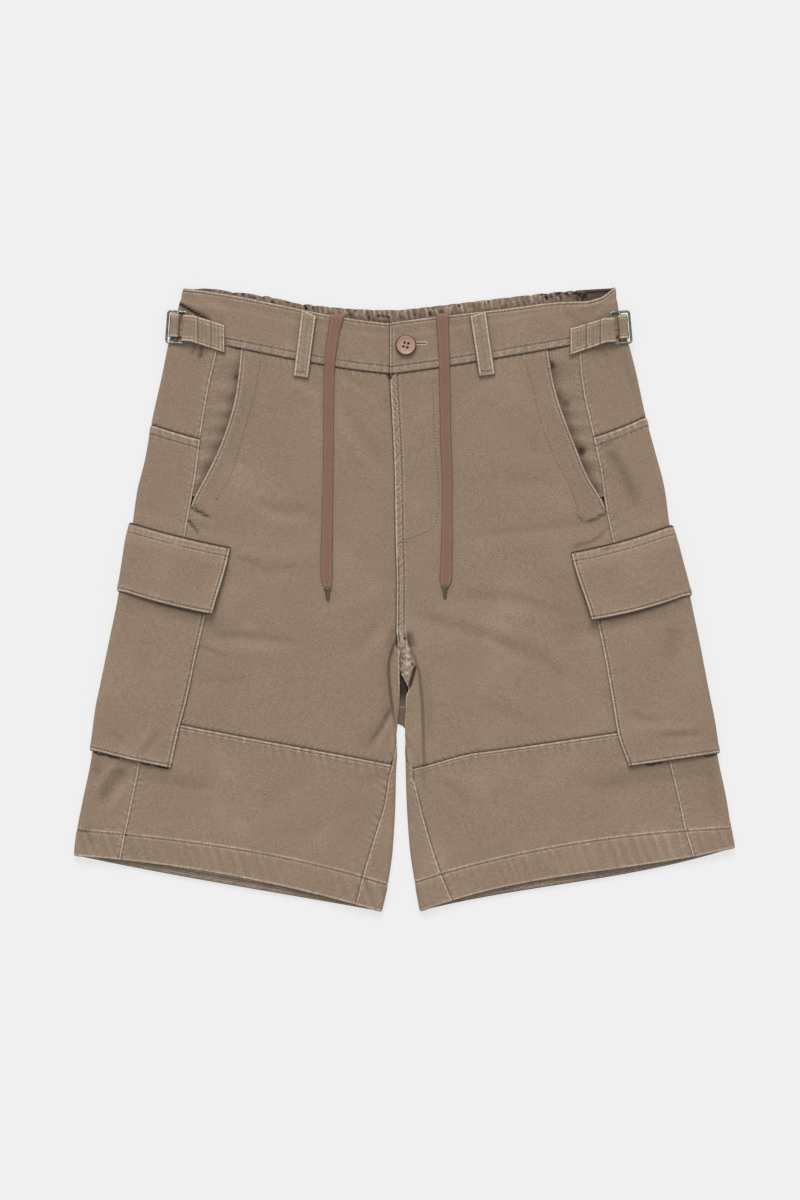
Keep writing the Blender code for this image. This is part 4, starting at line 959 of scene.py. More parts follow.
def piece_of(points, up, line=None):
    """What the edges need: normals, and distances from and along each edge."""
    across, down = arcs(points, 1), arcs(points, 0)
    normals = grid_normals(points, up) if up else np.zeros(points.shape) + (0.0, 0.0, 1.0)
    reach = {"start": across, "end": across[:, -1:] - across, "top": down, "low": down[-1:] - down}
    along = {"start": down, "end": down, "top": across, "low": across}
    row = None
    if line:
        t, value = line
        row = np.interp(value, t, np.arange(len(t)))
        first = min(int(row), len(t) - 2)
        spot = down[first] + (down[first + 1] - down[first]) * (row - first)
        reach["line"], along["line"] = down - spot, across
    return {"row": row, "points": points, "normals": normals, "reach": reach, "along": along}


PIECES = {}


def cloth(name, points, edges, wall=CLOTH, up=1.0, raised=0.0, wave=0.0, wear_and_highlight=0.0, painted_shade=0.0,
          wrap=False, line=None, layer="leg", inner=0.0):
    """One cloth piece from the grid of its outer face, a laid sheet in place of its solid."""
    piece = piece_of(points, up, line)
    # Painted shade of the sharp folds and creases, and painted highlight on the crease ridges.
    dark, pale = fold_shade_and_highlight(layer, points[..., 0], points[..., 1])
    painted_shade, wear_and_highlight = painted_shade + dark, wear_and_highlight + pale
    seed = sum(map(ord, name))
    face, lining, values = shaped(piece, edges, wall, raised, wave, wear_and_highlight, painted_shade, seed)
    values["wear_and_highlight"][points[..., 0].size:] = inner
    face[..., 2] = np.maximum(face[..., 2], 0.02)
    lining[..., 2] = np.maximum(lining[..., 2], 0.01)
    rows, columns = points.shape[:2]
    faces = (grid_faces(rows, columns, 0, wrap)
             + grid_faces(rows, columns, rows * columns, wrap, True)
             + rim_faces(rows, columns, wrap))
    both = np.concatenate([face.reshape(-1, 3), lining.reshape(-1, 3)])
    made = make(name, both, faces, "cotton", values, [name])
    piece.update(face=face, up=grid_normals(face, up or -1.0), object=made)
    PIECES[name] = piece
    return piece


print("cloth pieces ride with the whole garment")

# %% [markdown]
# Threads and rolled edges need points half a millimetre apart, and open cloth doesn't. So
# rows and columns stand close together at the edges and stitches, and wide elsewhere.
# %% Graded grids


def graded(length, spots, coarse=2.4, fine=0.4, growth=0.32):
    """Distances from 0 to length, close together at the spots."""
    found = [0.0]
    while found[-1] < length:
        x = found[-1]
        step = min([coarse] + [fine + growth * abs(x - spot) for spot in spots])
        found.append(x + step)
    found = np.array(found)
    return found * (length / found[-1])


def columns(start, end, length, near=(), far=(), coarse=2.4, keep=12.0):
    """Girths from start to end of each row, closer together at distances from its ends."""
    whole = float(np.mean(length))
    keep = min(keep, 0.4 * float(np.min(length)))
    place = graded(whole, [*near, *[whole - d for d in far]], coarse)
    rows = length[:, None]
    middle = keep + (place - keep) / (whole - 2 * keep) * (rows - 2 * keep)
    found = np.where(place < keep, place, np.where(place > whole - keep, rows - whole + place, middle))
    return start[:, None] + (end - start)[:, None] * found / rows


def beside(*parts):
    """Ranges of girths side by side, each starting where the last one ends."""
    return np.concatenate([parts[0]] + [part[:, 1:] for part in parts[1:]], 1)


print(len(graded(100.0, (0.0, 100.0))), "points across 100 mm")

# %% [markdown]
# ## Drawcords
#
# A flat woven cord comes out of an eyelet inside the waistband, folds over its top edge
# and hangs down the front to a metal tip. Its centre line is laid first, a little above
# the cloth, and a thin rounded section follows it. Each free end is about 26 cm long.
# %% Drawcords
CORDS = {
    # x, y, width down the front, from the waistband's top edge
    "left": ((-59, 246.2, 12), (-61.5, 235, 10.6), (-65.9, 195.8, 9.4),
             (-66.7, 112.7, 8.8), (-68.2, 22.6, 10.4), (-67.2, 8, 6)),
    "right": ((33, 247, 11), (34.9, 209, 9.6), (36.2, 136.3, 9.4),
              (37.5, 107.5, 9.2), (37.3, 63.7, 9.4), (36.2, 16.5, 10.6), (35.4, 9.6, 5.6)),
}
CORD_WALL = 1.3
AGLET_LENGTH = 10.5


def cord_line(side):
    """The centre line of a cord and its width, from inside the waistband to its tip."""
    table = np.array(CORDS[side])
    down = np.linspace(-table[0, 1] + 1.5, -table[-1, 1], 70)
    x = through(-table[:, 1], table[:, 0], down)
    width = through(-table[:, 1], table[:, 2], down)
    over = on_front(side, x, -down, 0.0)
    on_band = 0.85 * (1 - smooth((down + 206.0) / 8.0))
    over[:, 2] += on_band + 0.95 + 0.25 * hills(down, 3.0, 26, 11)
    x0, edge = table[0, :2]
    high = over[0, 2]
    bend = [(x0, edge - 13.0, 3.4), (x0, edge - 8.0, 3.4), (x0, edge - 3.0, 3.5),
            (x0, edge + 0.4, 4.0), (x0, edge + 1.7, 5.2), (x0, edge + 2.1, 6.6),
            (x0, edge + 1.5, high - 0.6), (x0, edge + 0.1, high)]
    return np.concatenate([bend, over]), np.concatenate([np.full(len(bend), table[0, 2]), width])


def drawcord(side):
    line, widths = cord_line(side)
    along = np.gradient(line, axis=0)
    along[:, 0] = 0.0
    along /= np.linalg.norm(along, axis=1, keepdims=True)
    away = np.stack([np.zeros(len(line)), -along[:, 2], along[:, 1]], -1)
    away *= np.sign(away[-1, 2])
    turns = 2 * np.pi * np.arange(20) / 20
    across = np.sign(np.cos(turns)) * np.abs(np.cos(turns)) ** 0.55 / 2
    up = np.sign(np.sin(turns)) * np.abs(np.sin(turns)) ** 0.8 / 2
    selvedge = 1.0 + 0.25 * hump(np.abs(across) - 0.42, 0.06)
    points = (line[:, None] + np.array([1.0, 0, 0]) * (across * widths[:, None])[..., None]
              + away[:, None] * (up * selvedge * CORD_WALL)[None, :, None])
    rows, count = points.shape[:2]
    faces = grid_faces(rows, count, 0, True)
    faces += [list(range(count)), list(range(rows * count - count, rows * count))[::-1]]
    # The cord's edges are painted with shade, and the ribs beside them paler, worn and painted with
    # highlight, most near the tip.
    edge = hump(np.abs(across) - 0.5, 0.05)
    rib = hump(np.abs(across) - 0.40, 0.035)
    near_tip = smooth((np.arange(rows) - rows + 9) / 8.0)[:, None]
    values = {"painted_shade": (0.75 * edge + 0 * near_tip).ravel(),
              "wear_and_highlight": (0.4 * rib + 0.45 * near_tip * rib).ravel()}
    cord = make("drawcord_" + side, points.reshape(-1, 3), faces, "cord", values, ["drawcord_" + side])

    x, y, z = line[-1]
    shares = np.array([0.0, 0.02, 0.08, 0.5, 0.9, 0.97, 1.0])
    grow = np.array([0.6, 1.0, 1.0, 0.85, 0.68, 0.55, 0.2])
    turns = 2 * np.pi * np.arange(24) / 24
    crimp = 1.0 - 0.55 * hump(np.cos(turns), 0.28) * (np.sin(turns) > 0)
    rings = np.stack([np.broadcast_to(x + 2.1 * grow[:, None] * np.cos(turns), (7, 24)),
                      np.broadcast_to(y + 1.2 - AGLET_LENGTH * shares[:, None], (7, 24)),
                      z + 0.25 + 1.35 * grow[:, None] * np.sin(turns) * crimp], -1)
    faces = grid_faces(7, 24, 0, True) + [list(range(24)), list(range(144, 168))[::-1]]
    tip = make("aglet_" + side, rings.reshape(-1, 3), faces, "tip", None, ["aglet_" + side])
    print("drawcord", side, "is", round(float(arcs(line, 0)[-1])), "mm long on its centre line")


for side in TABLES:
    drawcord(side)

# %% [markdown]
# ## Panels of the front and back
#
# Panels meet along seams that wander by a millimetre or two, most of all round the fork
# below the crotch. Hems are turned twice and stitched, which pulls the cloth into
# slanting ribs, and other seams pucker straight across.
# %% Seams and puckers
TRIM = 0.15             # the hair's breadth between two pieces
FORK = {
    # distances below the middle, and where the fronts' inner edges lie there
    "left": ((37, 47, 55, 67, 89, 99, 108, 120, 132, 141),
             (-4.9, -3.9, -4.2, -4.2, -4.7, -5.6, -6.5, -6.7, -6.8, -7)),
    "right": ((27, 33, 40, 47, 55, 62, 67.5, 72, 76, 79.8, 83.7, 88.6, 96.4, 105,
               115.7, 132, 141),
              (-7.1, -6.3, -5.8, -5, -5.2, -4.8, -1.9, 0.5, 2.7, 3.8, 2.3, 1.6, 1.8, 1.1,
               0.7, 1, 0.8)),
}
BACK_FORK = {
    # distances below the middle line, and how far the backs' inner edges are moved there
    "left": ((98, 108.5, 113, 120, 126, 132, 139, 146),
             (0, -3, -3.1, -2.8, -1.9, -1.2, -0.3, 0)),
    "right": ((98, 108.5, 111, 116, 120, 127, 138, 146),
              (0, -2.9, -0.7, 2.2, 2.4, 1.8, 0.4, 0)),
}
KNEE_DIP = ((-2, 14, 30, 46, 60), (9, 7.2, 4.4, 1.6, 0))  # x, how far the right seam dips


def knee_dip(side, points, away):
    """Lowers the right knee seam towards the inside leg; away is the distance from the seam."""
    if side == "right":
        points[..., 1] -= through(*KNEE_DIP, points[..., 0]) * (1 - smooth(away / 36.0))


def unrolled(girth):
    """Millimetres from the inside fold: the fold is 15 mm round, the front 260 mm."""
    return np.where(girth < 0, girth * 15.0, girth * 260.0)


def rolled(place):
    return np.where(place < 0, place / 15.0, place / 260.0)


def shifted(seam, millimetres):
    return rolled(unrolled(seam) + millimetres)


def rows_from(first, last, near=(0.0,), far=(0.0,), coarse=1.8, also=()):
    spots = [*near, *[last - first - d for d in far], *[t - first for t in also]]
    return first + graded(last - first, spots, coarse)


def hem_ribs(side, t, points):
    """Slanting ribs from the hem's stitches to its edge."""
    at = AT[side]
    depth = at["hem"] - at["hem_stitch"]
    share = (t[:, None] - at["hem_stitch"]) / depth
    along = points[..., 0] + 0.35 * points[..., 1]
    reach = smooth((share + 0.22) / 0.3) * (1.0 - 0.35 * smooth(share))
    patchy = 0.6 + 0.4 * hills(along, 3.0, 45, 34)
    return reach * patchy * (0.19 * ribs(along, 9.8, 31) + 0.12 * ribs(along + 2.0, 6.1, 32))


def seam_ribs(points, reach, height=0.28, pitch=7.5, deep=8.0, seed=51):
    """Short puckers that stand across a seam."""
    along = points[..., 0] + points[..., 1] * 0.2
    return height * ribs(along, pitch, seed) * hump(reach, deep)


print("a hair's breadth of", TRIM, "mm stays between two pieces")

# %% [markdown]
# The front panel laps at the pocket mouth, where its folded edge gapes a little over the
# facing, and passes under its neighbours elsewhere. At the crotch its threads have come
# loose and tangled, so the cloth is rough and pale there, with painted highlight on the
# curls and painted shade between them.
# %% Front panels


def front_panel(side):
    at, sign = AT[side], SIGN[side]
    t = rows_from(at["waist"] + TRIM, at["knee"] - TRIM, coarse=2.0,
                  also=at["crotch"] + np.arange(-30.0, 34.0, 3.6))
    seam = column(side, "seam", t)
    start = shifted(seam, TRIM) * smooth((t - at["crotch"] + 30) / 26.0)
    mouth = t < at["mouth_end"]
    edge = np.where(mouth, column(side, "mouth", t), column(side, "side", t))
    end = front_share(side, t, edge - sign * TRIM)
    near = np.full(len(t), 0.03)
    wide = (end - near) * front_length(side, t)
    place = unrolled(start)
    share = graded(6.0, (0.0, 1.8), 0.22, 0.08) / 6.0
    narrow = rolled(place[:, None] + (7.8 - place)[:, None] * share)
    spots = (0.0, 3.0)
    girth = beside(narrow, columns(near, end, wide, near=spots, far=(0.0, 1.8), coarse=2.0))
    points = leg(side, t[:, None], girth, 0.0, fly_drop)
    down = arcs(points, 0)
    across = arcs(points, 1)
    edge_y = points[:, 0, 1]
    want = through(*FORK[side], -edge_y)
    first = -27.0 if side == "right" else -34.0
    pulled = (want - points[:, 0, 0]) * smooth((first - edge_y) / 7.0) * smooth((edge_y + 142.0) / 10.0)
    points[..., 0] += pulled[:, None] * hump(across, 9.0)
    mass = smooth((-33.0 - edge_y) / 6.0) * smooth((edge_y + 67.0) / 5.0)
    lip = 0.9 * smooth((-64.0 - edge_y) / 5.0) * smooth((edge_y + 104.0) / 14.0)
    tucked = -1.3 * mass + lip if side == "right" else 0.35 * mass
    points[..., 2] += tucked[:, None] * hump(across, 5.0)
    far = across[:, -1:] - across
    share = (t - t[0]) / (at["mouth_end"] - t[0])
    gape = np.where(mouth, np.sin(np.pi * np.clip(share, 0, 1)) ** 0.8, 0.0)[:, None]
    raised = 2.6 * gape * hump(far, 11.0) + 0.35 * gape * (far < 17) * smooth((17 - far) / 2)
    wave = seam_ribs(points, down[-1:] - down, 0.07)
    x, y = points[..., 0], points[..., 1]
    slant = np.interp(-y, (24, 33, 45, 56, 64, 70), (0.0, 1.0, 5.0, 8.0, 6.0, 1.0))
    tangled = (smooth((slant - x) / 3.0 + 0.5) * smooth((-22.0 - y) / 8.0) * smooth((y + 70.0) / 5.0)
               * (x < 12))
    wear_and_highlight = 0.0
    if side == "right":
        # The tangle is paler, with painted highlight on its curls and painted shade between them.
        curls = 0.6 * hills(x, y, 2.3, 62) + 0.5 * hills(x, y, 3.6, 63)
        wave = wave + tangled * 0.7 * curls
        wear_and_highlight = tangled * (0.06 + 0.6 * np.clip(curls, 0, 1))
    above = (1 - smooth((t - at["crotch"] + 36) / 8.0))[:, None]
    below = smooth((t - at["crotch"] + (30 if side == "left" else -4)) / 6.0)[:, None]
    legs = smooth((t - at["fork"] - 2) / 8.0)[:, None]
    painted_shade = 0.0
    if side == "right":
        roped = hump(across - 3.2, 3.4) * above
        strong = 0.3 + 0.25 * (1 - smooth((t - at["hip"] - 20) / 50.0))[:, None]
        wave = wave + strong * roped * ribs(down + 1.1 * across, 4.6, 61)
        painted_shade = tangled * 0.45 * np.clip(-curls, 0, 1)
        low = smooth((t - at["mouth_end"] - 6) / 6.0)[:, None]
        centre = [("start", "lap", (), above), ("start", "plain", (6.6,), above),
                  ("start", "plain", (1.8,), above * low)]
    else:
        centre = []
        # Painted shadow of the right front's lap along the fly.
        off = column(side, "fly", t)[:, None] - points[..., 0]
        painted_shade = 0.75 * above * np.where(off < 0.3, 1.0, hump(off - 0.3, 0.7))
    centre += [("start", "fold", (), below * (1 - legs)), ("start", "under", (), legs)]
    on_mouth = smooth((at["mouth_end"] + 3 - t) / 6.0)[:, None]
    edges = centre + [("top", "below", ()), ("low", "below", ()),
                      ("end", "fold", (1.9,), on_mouth), ("end", "tuck", (), 1 - on_mouth)]
    knee_dip(side, points, down[-1:] - down)
    cloth("front_" + side, points, edges, up=-sign, raised=raised, wave=wave, painted_shade=painted_shade,
          wear_and_highlight=wear_and_highlight)


for side in TABLES:
    front_panel(side)

# %% [markdown]
# The lower front is a piece of its own, so that the leg can be shaped at the knee. Its
# top edge is turned under and laps over the front panel, and the hem is sewn along one of
# its rows. So the grid has that row, and another just inside each line of stitches.
# %% Lower fronts


def lower_front(side):
    at, sign = AT[side], SIGN[side]
    t = rows_from(at["knee"] - 0.5, at["hem"], near=(0.0, 1.9), also=(at["hem_stitch"],))
    start = shifted(column(side, "seam", t), TRIM)
    end = front_share(side, t, column(side, "side", t) - sign * TRIM)
    near = start + 0.02
    narrow = start[:, None] + (near - start)[:, None] * (graded(5.0, (0.0,), 1.0) / 5.0)
    wide = (end - near) * front_length(side, t)
    girth = beside(narrow, columns(near, end, wide, far=(0.0,)))
    points = leg(side, t[:, None], girth)
    down = arcs(points, 0)
    wave = seam_ribs(points, down, 0.22, 7.6, 9.0) + hem_ribs(side, t, points)
    knee_dip(side, points, down)
    edges = [("top", "knee", (1.9,)), ("start", "tuck", ()), ("end", "tuck", ()),
             ("low", "hem", ()), ("line", "row", (0.0,))]
    cloth("lower_front_" + side, points, edges, up=-sign, wave=wave, line=(t, at["hem_stitch"]))


for side in TABLES:
    lower_front(side)

# %% [markdown]
# A back panel starts at the side seam on the front, goes round the outer fold, lies under
# the leg and comes round the inside fold. One grid does it all, fine where it shows and
# coarse underneath. The yoke above it goes the same way as far as the centre.
# %% Back panels and yokes
# The pale seam in the gap is a painted highlight.
LIT_LINE = 95.1         # a pale seam crosses the gap below the crotch, this far under the middle


def back_panel(name, side, t):
    at, sign = AT[side], SIGN[side]
    start = front_share(side, t, column(side, "side", t) - sign * 0.35)
    forked = smooth((t - at["fork"]) / 8.0)
    seam = column(side, "seam", t)
    turned = np.where(forked > 0, 3.0 + forked * (1.0 + shifted(seam, -0.05)), 3.0)
    near = 3.0 - (1.0 - forked) * 0.06
    corner = np.where(forked > 0, np.minimum(4.0, turned - 0.003), 2.99)
    one, two = np.ones(len(t)), np.full(len(t), 2.0)
    parts = [columns(start, one, (1 - start) * front_length(side, t), near=(0.0, 1.8)),
             columns(one, two, one * 9.0, coarse=1.1, keep=0.0),
             columns(two, near, (near - two) * back_length(side, t), coarse=6.0),
             near[:, None] + (corner - near)[:, None] * np.linspace(0, 1, 9),
             corner[:, None] + (turned - corner)[:, None] * (graded(12.0, (12.0, 10.2), 1.6) / 12.0)]
    girth = beside(*parts)
    points = leg(side, t[:, None], girth)
    front = ((girth < 1.6) | (girth > 3.4)) * 1.0
    at_fork = hump(3.0 - girth, 0.02) * (1 - forked[:, None])
    points[..., 0] -= 0.6 * sign * at_fork * (girth > 2.5)
    points[..., 2] += at_fork * (0.3 if side == "right" else 0.0)
    inner_x = np.where(girth > 2.5, -sign * points[..., 0], -1e3).max(axis=1, keepdims=True)
    near_edge = hump(inner_x + sign * points[..., 0], 8.0)
    moved = through(*BACK_FORK[side], -points[..., 1]) * near_edge
    points[..., 0] += np.where(girth > 2.5, moved, 0.0)
    # The inside of the back, seen in the gap below the crotch, is painted with shade that is darkest at
    # the top; the seam across the gap is painted pale as a highlight.
    inner = (girth > 2.85) & (girth < 3.9)
    lit = hump(points[..., 1] + LIT_LINE, 0.7)
    shade = inner * (1 - smooth((t - at["fork"] - 2) / 10.0))[:, None]
    dark = shade * (0.5 + 0.45 * smooth((points[..., 1] + 96.0) / 16.0)) * (1 - lit)
    wave = front * hem_ribs(side, t, points) if name == "back_" else 0.0 * girth
    legs = smooth((t - at["fork"] - 6) / 8.0)[:, None]
    edges = [("start", "side", (1.8,)), ("end", "side", (1.6,), legs)]
    if name == "back_":
        down = arcs(points, 0)
        wave = wave + front * seam_ribs(points, down, 0.2, 8.0)
        edges += [("top", "lap", (6.9,)), ("low", "hem", (), front), ("line", "row", (0.0,), front)]
        cloth(name + side, points, edges, up=-sign, wave=wave,
              wear_and_highlight=shade * lit, painted_shade=dark, line=(t, at["hem_stitch"]))
    else:
        edges += [("top", "below", ()), ("low", "below", ())]
        cloth(name + side, points, edges, up=-sign)


for side in TABLES:
    at = AT[side]
    back_panel("yoke_", side, rows_from(at["waist"] + TRIM, at["yoke"] - TRIM))
    rows = np.linspace(at["crotch"], at["fork"] + 20, 200)
    lit_row = np.interp(LIT_LINE, -plan(side, rows)["back_in"][:, 1], rows)
    back_panel("back_", side, rows_from(at["yoke"] - 0.5, at["hem"], near=(0.0, 6.9),
                                        also=(lit_row, at["fork"], at["fork"] + 6, at["fork"] + 12,
                                              at["hem_stitch"])))

# %% [markdown]
# ## Slash pockets and turned hems
#
# What shows inside a pocket mouth is the facing, a strip of the same cloth that dips
# under the front panel. The hem's turning is a second loop just inside the leg end.
# %% Facings and hems
GAP = 0.3               # between the leg and its turned hem


def facing(side):
    at, sign = AT[side], SIGN[side]
    t = rows_from(at["waist"] + TRIM, 0.3 * at["mouth_low"] + 0.7 * at["mouth_end"])
    start = front_share(side, t, column(side, "mouth", t) - sign * 10.0)
    end = front_share(side, t, column(side, "side", t) - sign * TRIM)
    girth = columns(start, end, (end - start) * front_length(side, t), far=(0.0,), coarse=1.6, keep=0.0)
    points = leg(side, t[:, None], girth, 0.0, facing_drop)
    # Painted shadow on the facing, cast by the front panel's gaping lip: strongest beside the mouth and
    # lower down, fading towards the side seam.
    inside = np.abs(points[..., 0] - column(side, "mouth", t)[:, None])
    shade = 0.36 if side == "left" else 0.42
    deep = shade * hump(inside, 6.0) * (0.35 + 0.65 * smooth((t - t[0]) / 40.0)[:, None])
    deep = deep * smooth(arcs(points, 1)[:, -1:] / 9.0 - arcs(points, 1) / 9.0 + 0.1)
    edges = [("end", "tuck", ()), ("top", "under", ())]
    cloth("pocket_facing_" + side, points, edges, up=-sign, painted_shade=deep,
          wave=0.2 * ribs(points[..., 1], 17.0, 71) * hump(inside, 16.0), layer="facing")


def hem(side):
    at = AT[side]
    t = rows_from(at["hem_stitch"] + 1.0, at["hem"] - 0.4, (), (0.0, 1.3, 3.2, 5.0), 3.0)
    girth = np.concatenate([np.linspace(0, 1, 60), np.linspace(1, 2, 9)[1:],
                            np.linspace(2, 3, 60)[1:], np.linspace(3, 4, 9)[1:-1]])
    girth = np.broadcast_to(girth, (len(t), len(girth)))
    points = leg(side, t[:, None], girth, -CLOTH - GAP)
    under = (girth > 1.9) & (girth < 3.1)
    raised = np.where(under, -0.4 * (1 + ribs(points[..., 0], 10.0, 33)) * 0.5, 0.0)
    edges = [("low", "fold", (1.3, 3.2, 5.0)), ("top", "plain", ())]
    # The turning is painted paler, on its face and its lining, against the shadow that the leg's edge
    # throws on it.
    cloth("hem_" + side, points, edges, up=-SIGN[side], raised=raised, wear_and_highlight=0.5, wrap=True, inner=0.7)


for side in TABLES:
    facing(side)
    hem(side)

# %% [markdown]
# ## Waistband
#
# The front waistbands are flat and firm, two layers and an interlining, topstitched
# along the top and twice along the seam. The back waistband holds an elastic, so it
# is drawn into narrow upright gathers that puff along its top edge.
# %% Front waistbands
BAND_WRAP = 30.0        # how far it goes round to the back
BAND_SAG = ((119, 136, 149, 162, 172, 178, 184), (0, 1.4, 3.6, 5.9, 5.6, 3.4, 0))  # x, how far


def front_band(side):
    at, sign = AT[side], SIGN[side]
    t = rows_from(0.0, at["waist"] + 0.5, near=(0.0, 1.8), far=(0.0, 6.2), coarse=1.4)
    zero = t * 0
    long = front_length(side, t)
    far = 2.0 + BAND_WRAP / back_length(side, t)
    spots = (0.0, 1.6) if side == "right" else (8.2,)
    girth = beside(columns(zero, zero + 1, long, near=spots, far=(6.0, 20.0), coarse=1.5),
                   columns(zero + 1, zero + 2, zero + 12.0, coarse=1.1, keep=0.0),
                   columns(zero + 2, far, zero + BAND_WRAP, coarse=4.0, keep=0.0))
    points = leg(side, t[:, None], girth, 0.0, fly_drop, "band")
    front = (girth < 1.7) * 1.0
    down = arcs(points, 0)
    if side == "right":
        sag = through(*BAND_SAG, points[..., 0]) * hump(down, 13.0)
        points[..., 1] -= sag * (girth < 1.5)
        points[..., 2] += 0.25 * sag * (girth < 1.5)
    if side == "left":
        behind = smooth((girth - 2.0) * back_length(side, t)[:, None] / 18.0)
        points[..., 1] += 2.5 * behind * hump(down, 18.0)
    wave = front * 0.14 * ribs(points[..., 0], 9.0, 81) * hump(down[-1:] - down - 3, 4)
    centre = [("start", "fold", (1.6,))] if side == "right" else []
    edges = centre + [("top", "fold", (1.9,)), ("low", "band", (0.8, 6.3))]
    # Painted shade: a sharp dark line where the band folds under at its left end, a broader shade
    # beside it, the part going round to the back, and on the left the lap's shadow at the fly.
    dark = furrow(points[..., 0], points[..., 1],
                  [(-200, 260.5), (-185, 251.2), (-179, 247), (-166, 243)], 1.15)
    dark = np.minimum(2.4 * dark, 1.0)
    shade = furrow(points[..., 0], points[..., 1], [(-197, 251), (-180, 243)], 6.0)
    painted_shade = front * (dark + 0.34 * shade) + (0.3 if side == "left" else 0.7) * (1 - front)
    if side == "left":
        off = column(side, "fly", t)[:, None] - points[..., 0]
        painted_shade = painted_shade + front * np.where(off < 0.3, 0.6, 0.6 * hump(off - 0.3, 0.6))
    cloth("waistband_" + side, points, edges, BAND, -sign, wave=wave, painted_shade=painted_shade, layer="band")


for side in TABLES:
    front_band(side)

# %% [markdown]
# Elastic draws the back waistband into puffs, with a pinched notch between each two. No
# two are alike, so the notches and the folds below them are set one by one, and a
# rounded curve fills the cloth between them.
# %% Notches and folds
NOTCHES = (
    # x of the pinched folds between the puffs along the top edge
    -199.8, -193.7, -178.8, -150, -124.6, -115.8, -88.7, -79.1, -65.1, -52.8, -43.2, -27.5, -3.8, 11.9,
    22.4, 36.4, 47.8, 60, 74, 92.4, 110.8, 125.7, 140.5, 149.3, 156.3, 171.2, 183.4,
)
LIGHT_FOLDS = (
    # height, paleness of painted highlight, x and y of the top, x of the foot
    (0.9, 0.8, -51.1, 254.4, -54.6), (0.7, 0.6, -41.5, 254.4, -41.5), (0.9, 0.8, -35.3, 254.4, -35.3),
    (1, 0.7, -26.6, 254.4, -26.6), (1, 0.9, -6.5, 254.4, -4.7), (1, 0.9, 0.5, 254.4, 0.5),
    (0.8, 0.8, 4.5, 254.4, 7.1), (0.9, 0.8, 18.9, 254.4, 20.7), (1, 1, 27.7, 254.4, 29.4),
    (0.7, 0.6, 37.3, 256.3, 36.4), (0.9, 0.8, 41.2, 256.9, 39.5), (0.9, 0.8, 49.5, 258.2, 52.2),
    (0.8, 0.7, 68.8, 261.3, 69.7), (0.8, 0.6, 71.8, 261.8, 72.7), (0.8, 0.8, 75.8, 262.4, 76.7),
    (0.9, 0.8, 110.8, 267.9, 112.5), (0.4, 0.4, -61.6, 254.4, -59.8), (0.4, 0.4, -69.5, 254.4, -70.3),
    (0.4, 0.3, 95.9, 265.6, 96.8), (0.3, 0.3, 85.4, 263.9, 85.4), (0.4, 0.35, 57.4, 259.5, 57.4),
    (0.4, 0.4, 11.9, 254.4, 11.9), (0.4, 0.5, -18.7, 254.4, -16.1), (0.4, 0.5, -14.3, 254.4, -11.7),
)
LIGHT_WIDTH, LIGHT_LENGTH = 0.95, 10.5
DARK_FOLDS = (
    # half width, tone of painted shade, top and foot of each; the darker ones are deeper
    (1.3, -1, (-150.8, 268.9), (-147.3, 266.3)), (1, -0.8, (-124.6, 265.4), (-122.8, 262.3)),
    (1, -1, (-115.4, 260.6), (-117.2, 257.9)), (0.9, -0.7, (-136, 264.5), (-129.8, 262.8)),
    (0.9, -0.5, (-143, 267.6), (-137.7, 264.9)), (1.2, -1, (-87.8, 257.9), (-84.8, 251.8)),
    (0.9, -0.7, (-79.5, 256.2), (-80.4, 253.6)), (1.2, -0.6, (-180.6, 271.5), (-176.2, 269.3)),
    (0.9, -0.5, (-105.3, 260.6), (-100.1, 258.8)), (0.8, -0.4, (-94.8, 258.8), (-92.2, 256.6)),
    (0.8, -0.8, (-24.8, 248.3), (-9.1, 246.1)), (1, -0.5, (-24, 243.1), (-10, 242.2)),
    (2.2, -0.35, (-49.3, 250.9), (-44.1, 243.9)), (2, -0.35, (-33.6, 250.9), (-29.2, 243.9)),
    (1.6, -0.4, (-4.7, 250.1), (-1.2, 243.9)), (2.6, -0.4, (6.7, 250.9), (16.3, 245.7)),
    (1.6, -0.4, (21.5, 251.8), (25, 246.6)), (1.8, -0.4, (31.2, 252.7), (34.7, 248.3)),
    (0.9, -0.9, (73.2, 261.9), (74, 258.8)), (0.9, -0.9, (24.6, 255.3), (25, 253.1)),
    (0.9, -0.7, (19.8, 254.9), (20.7, 253.1)), (0.9, -0.8, (47.8, 257.5), (48.7, 255.3)),
    (0.9, -0.7, (-43.2, 253.6), (-42.3, 251.8)), (0.9, -0.7, (-27.5, 254), (-26.6, 251.8)),
    (0.8, -0.5, (-52.8, 252.7), (-47.6, 252.3)), (0.8, -0.5, (-3.8, 253.6), (-2.5, 251.8)),
    (1, -0.9, (118.7, 266.3), (124.8, 268)), (1.1, -1, (123, 265.8), (126.5, 261.4)),
    (1, -0.9, (132.7, 266.7), (138.8, 268.9)), (1.2, -1, (140.1, 268.9), (145.8, 264.1)),
    (1, -1, (147.1, 266.7), (151.9, 268.9)), (1.2, -1, (151.5, 268.4), (154.5, 264.1)),
    (2.4, -0.85, (156.3, 265.8), (164.2, 264.9)), (1.1, -0.9, (164.2, 268), (167.2, 264.9)),
    (1, -0.8, (169.4, 267.1), (178.2, 270.6)), (1.6, -0.6, (167.7, 265.8), (174.7, 266.3)),
    (1, -0.9, (178.2, 273.3), (181.7, 270.2)), (1.4, -0.5, (126.5, 264.9), (132.7, 263.6)),
    (1.6, -0.45, (134.4, 265.8), (139.7, 264.5)),
)


print(len(NOTCHES), "notches,", len(LIGHT_FOLDS), "pale and", len(DARK_FOLDS), "dark folds")

# %% [markdown]
# The two halves of the band are grids on the underside of the legs, joined at the
# centre. Its wall is as thick as the puffs are high.
# %% Back waistband
BACK_COLUMNS = 330


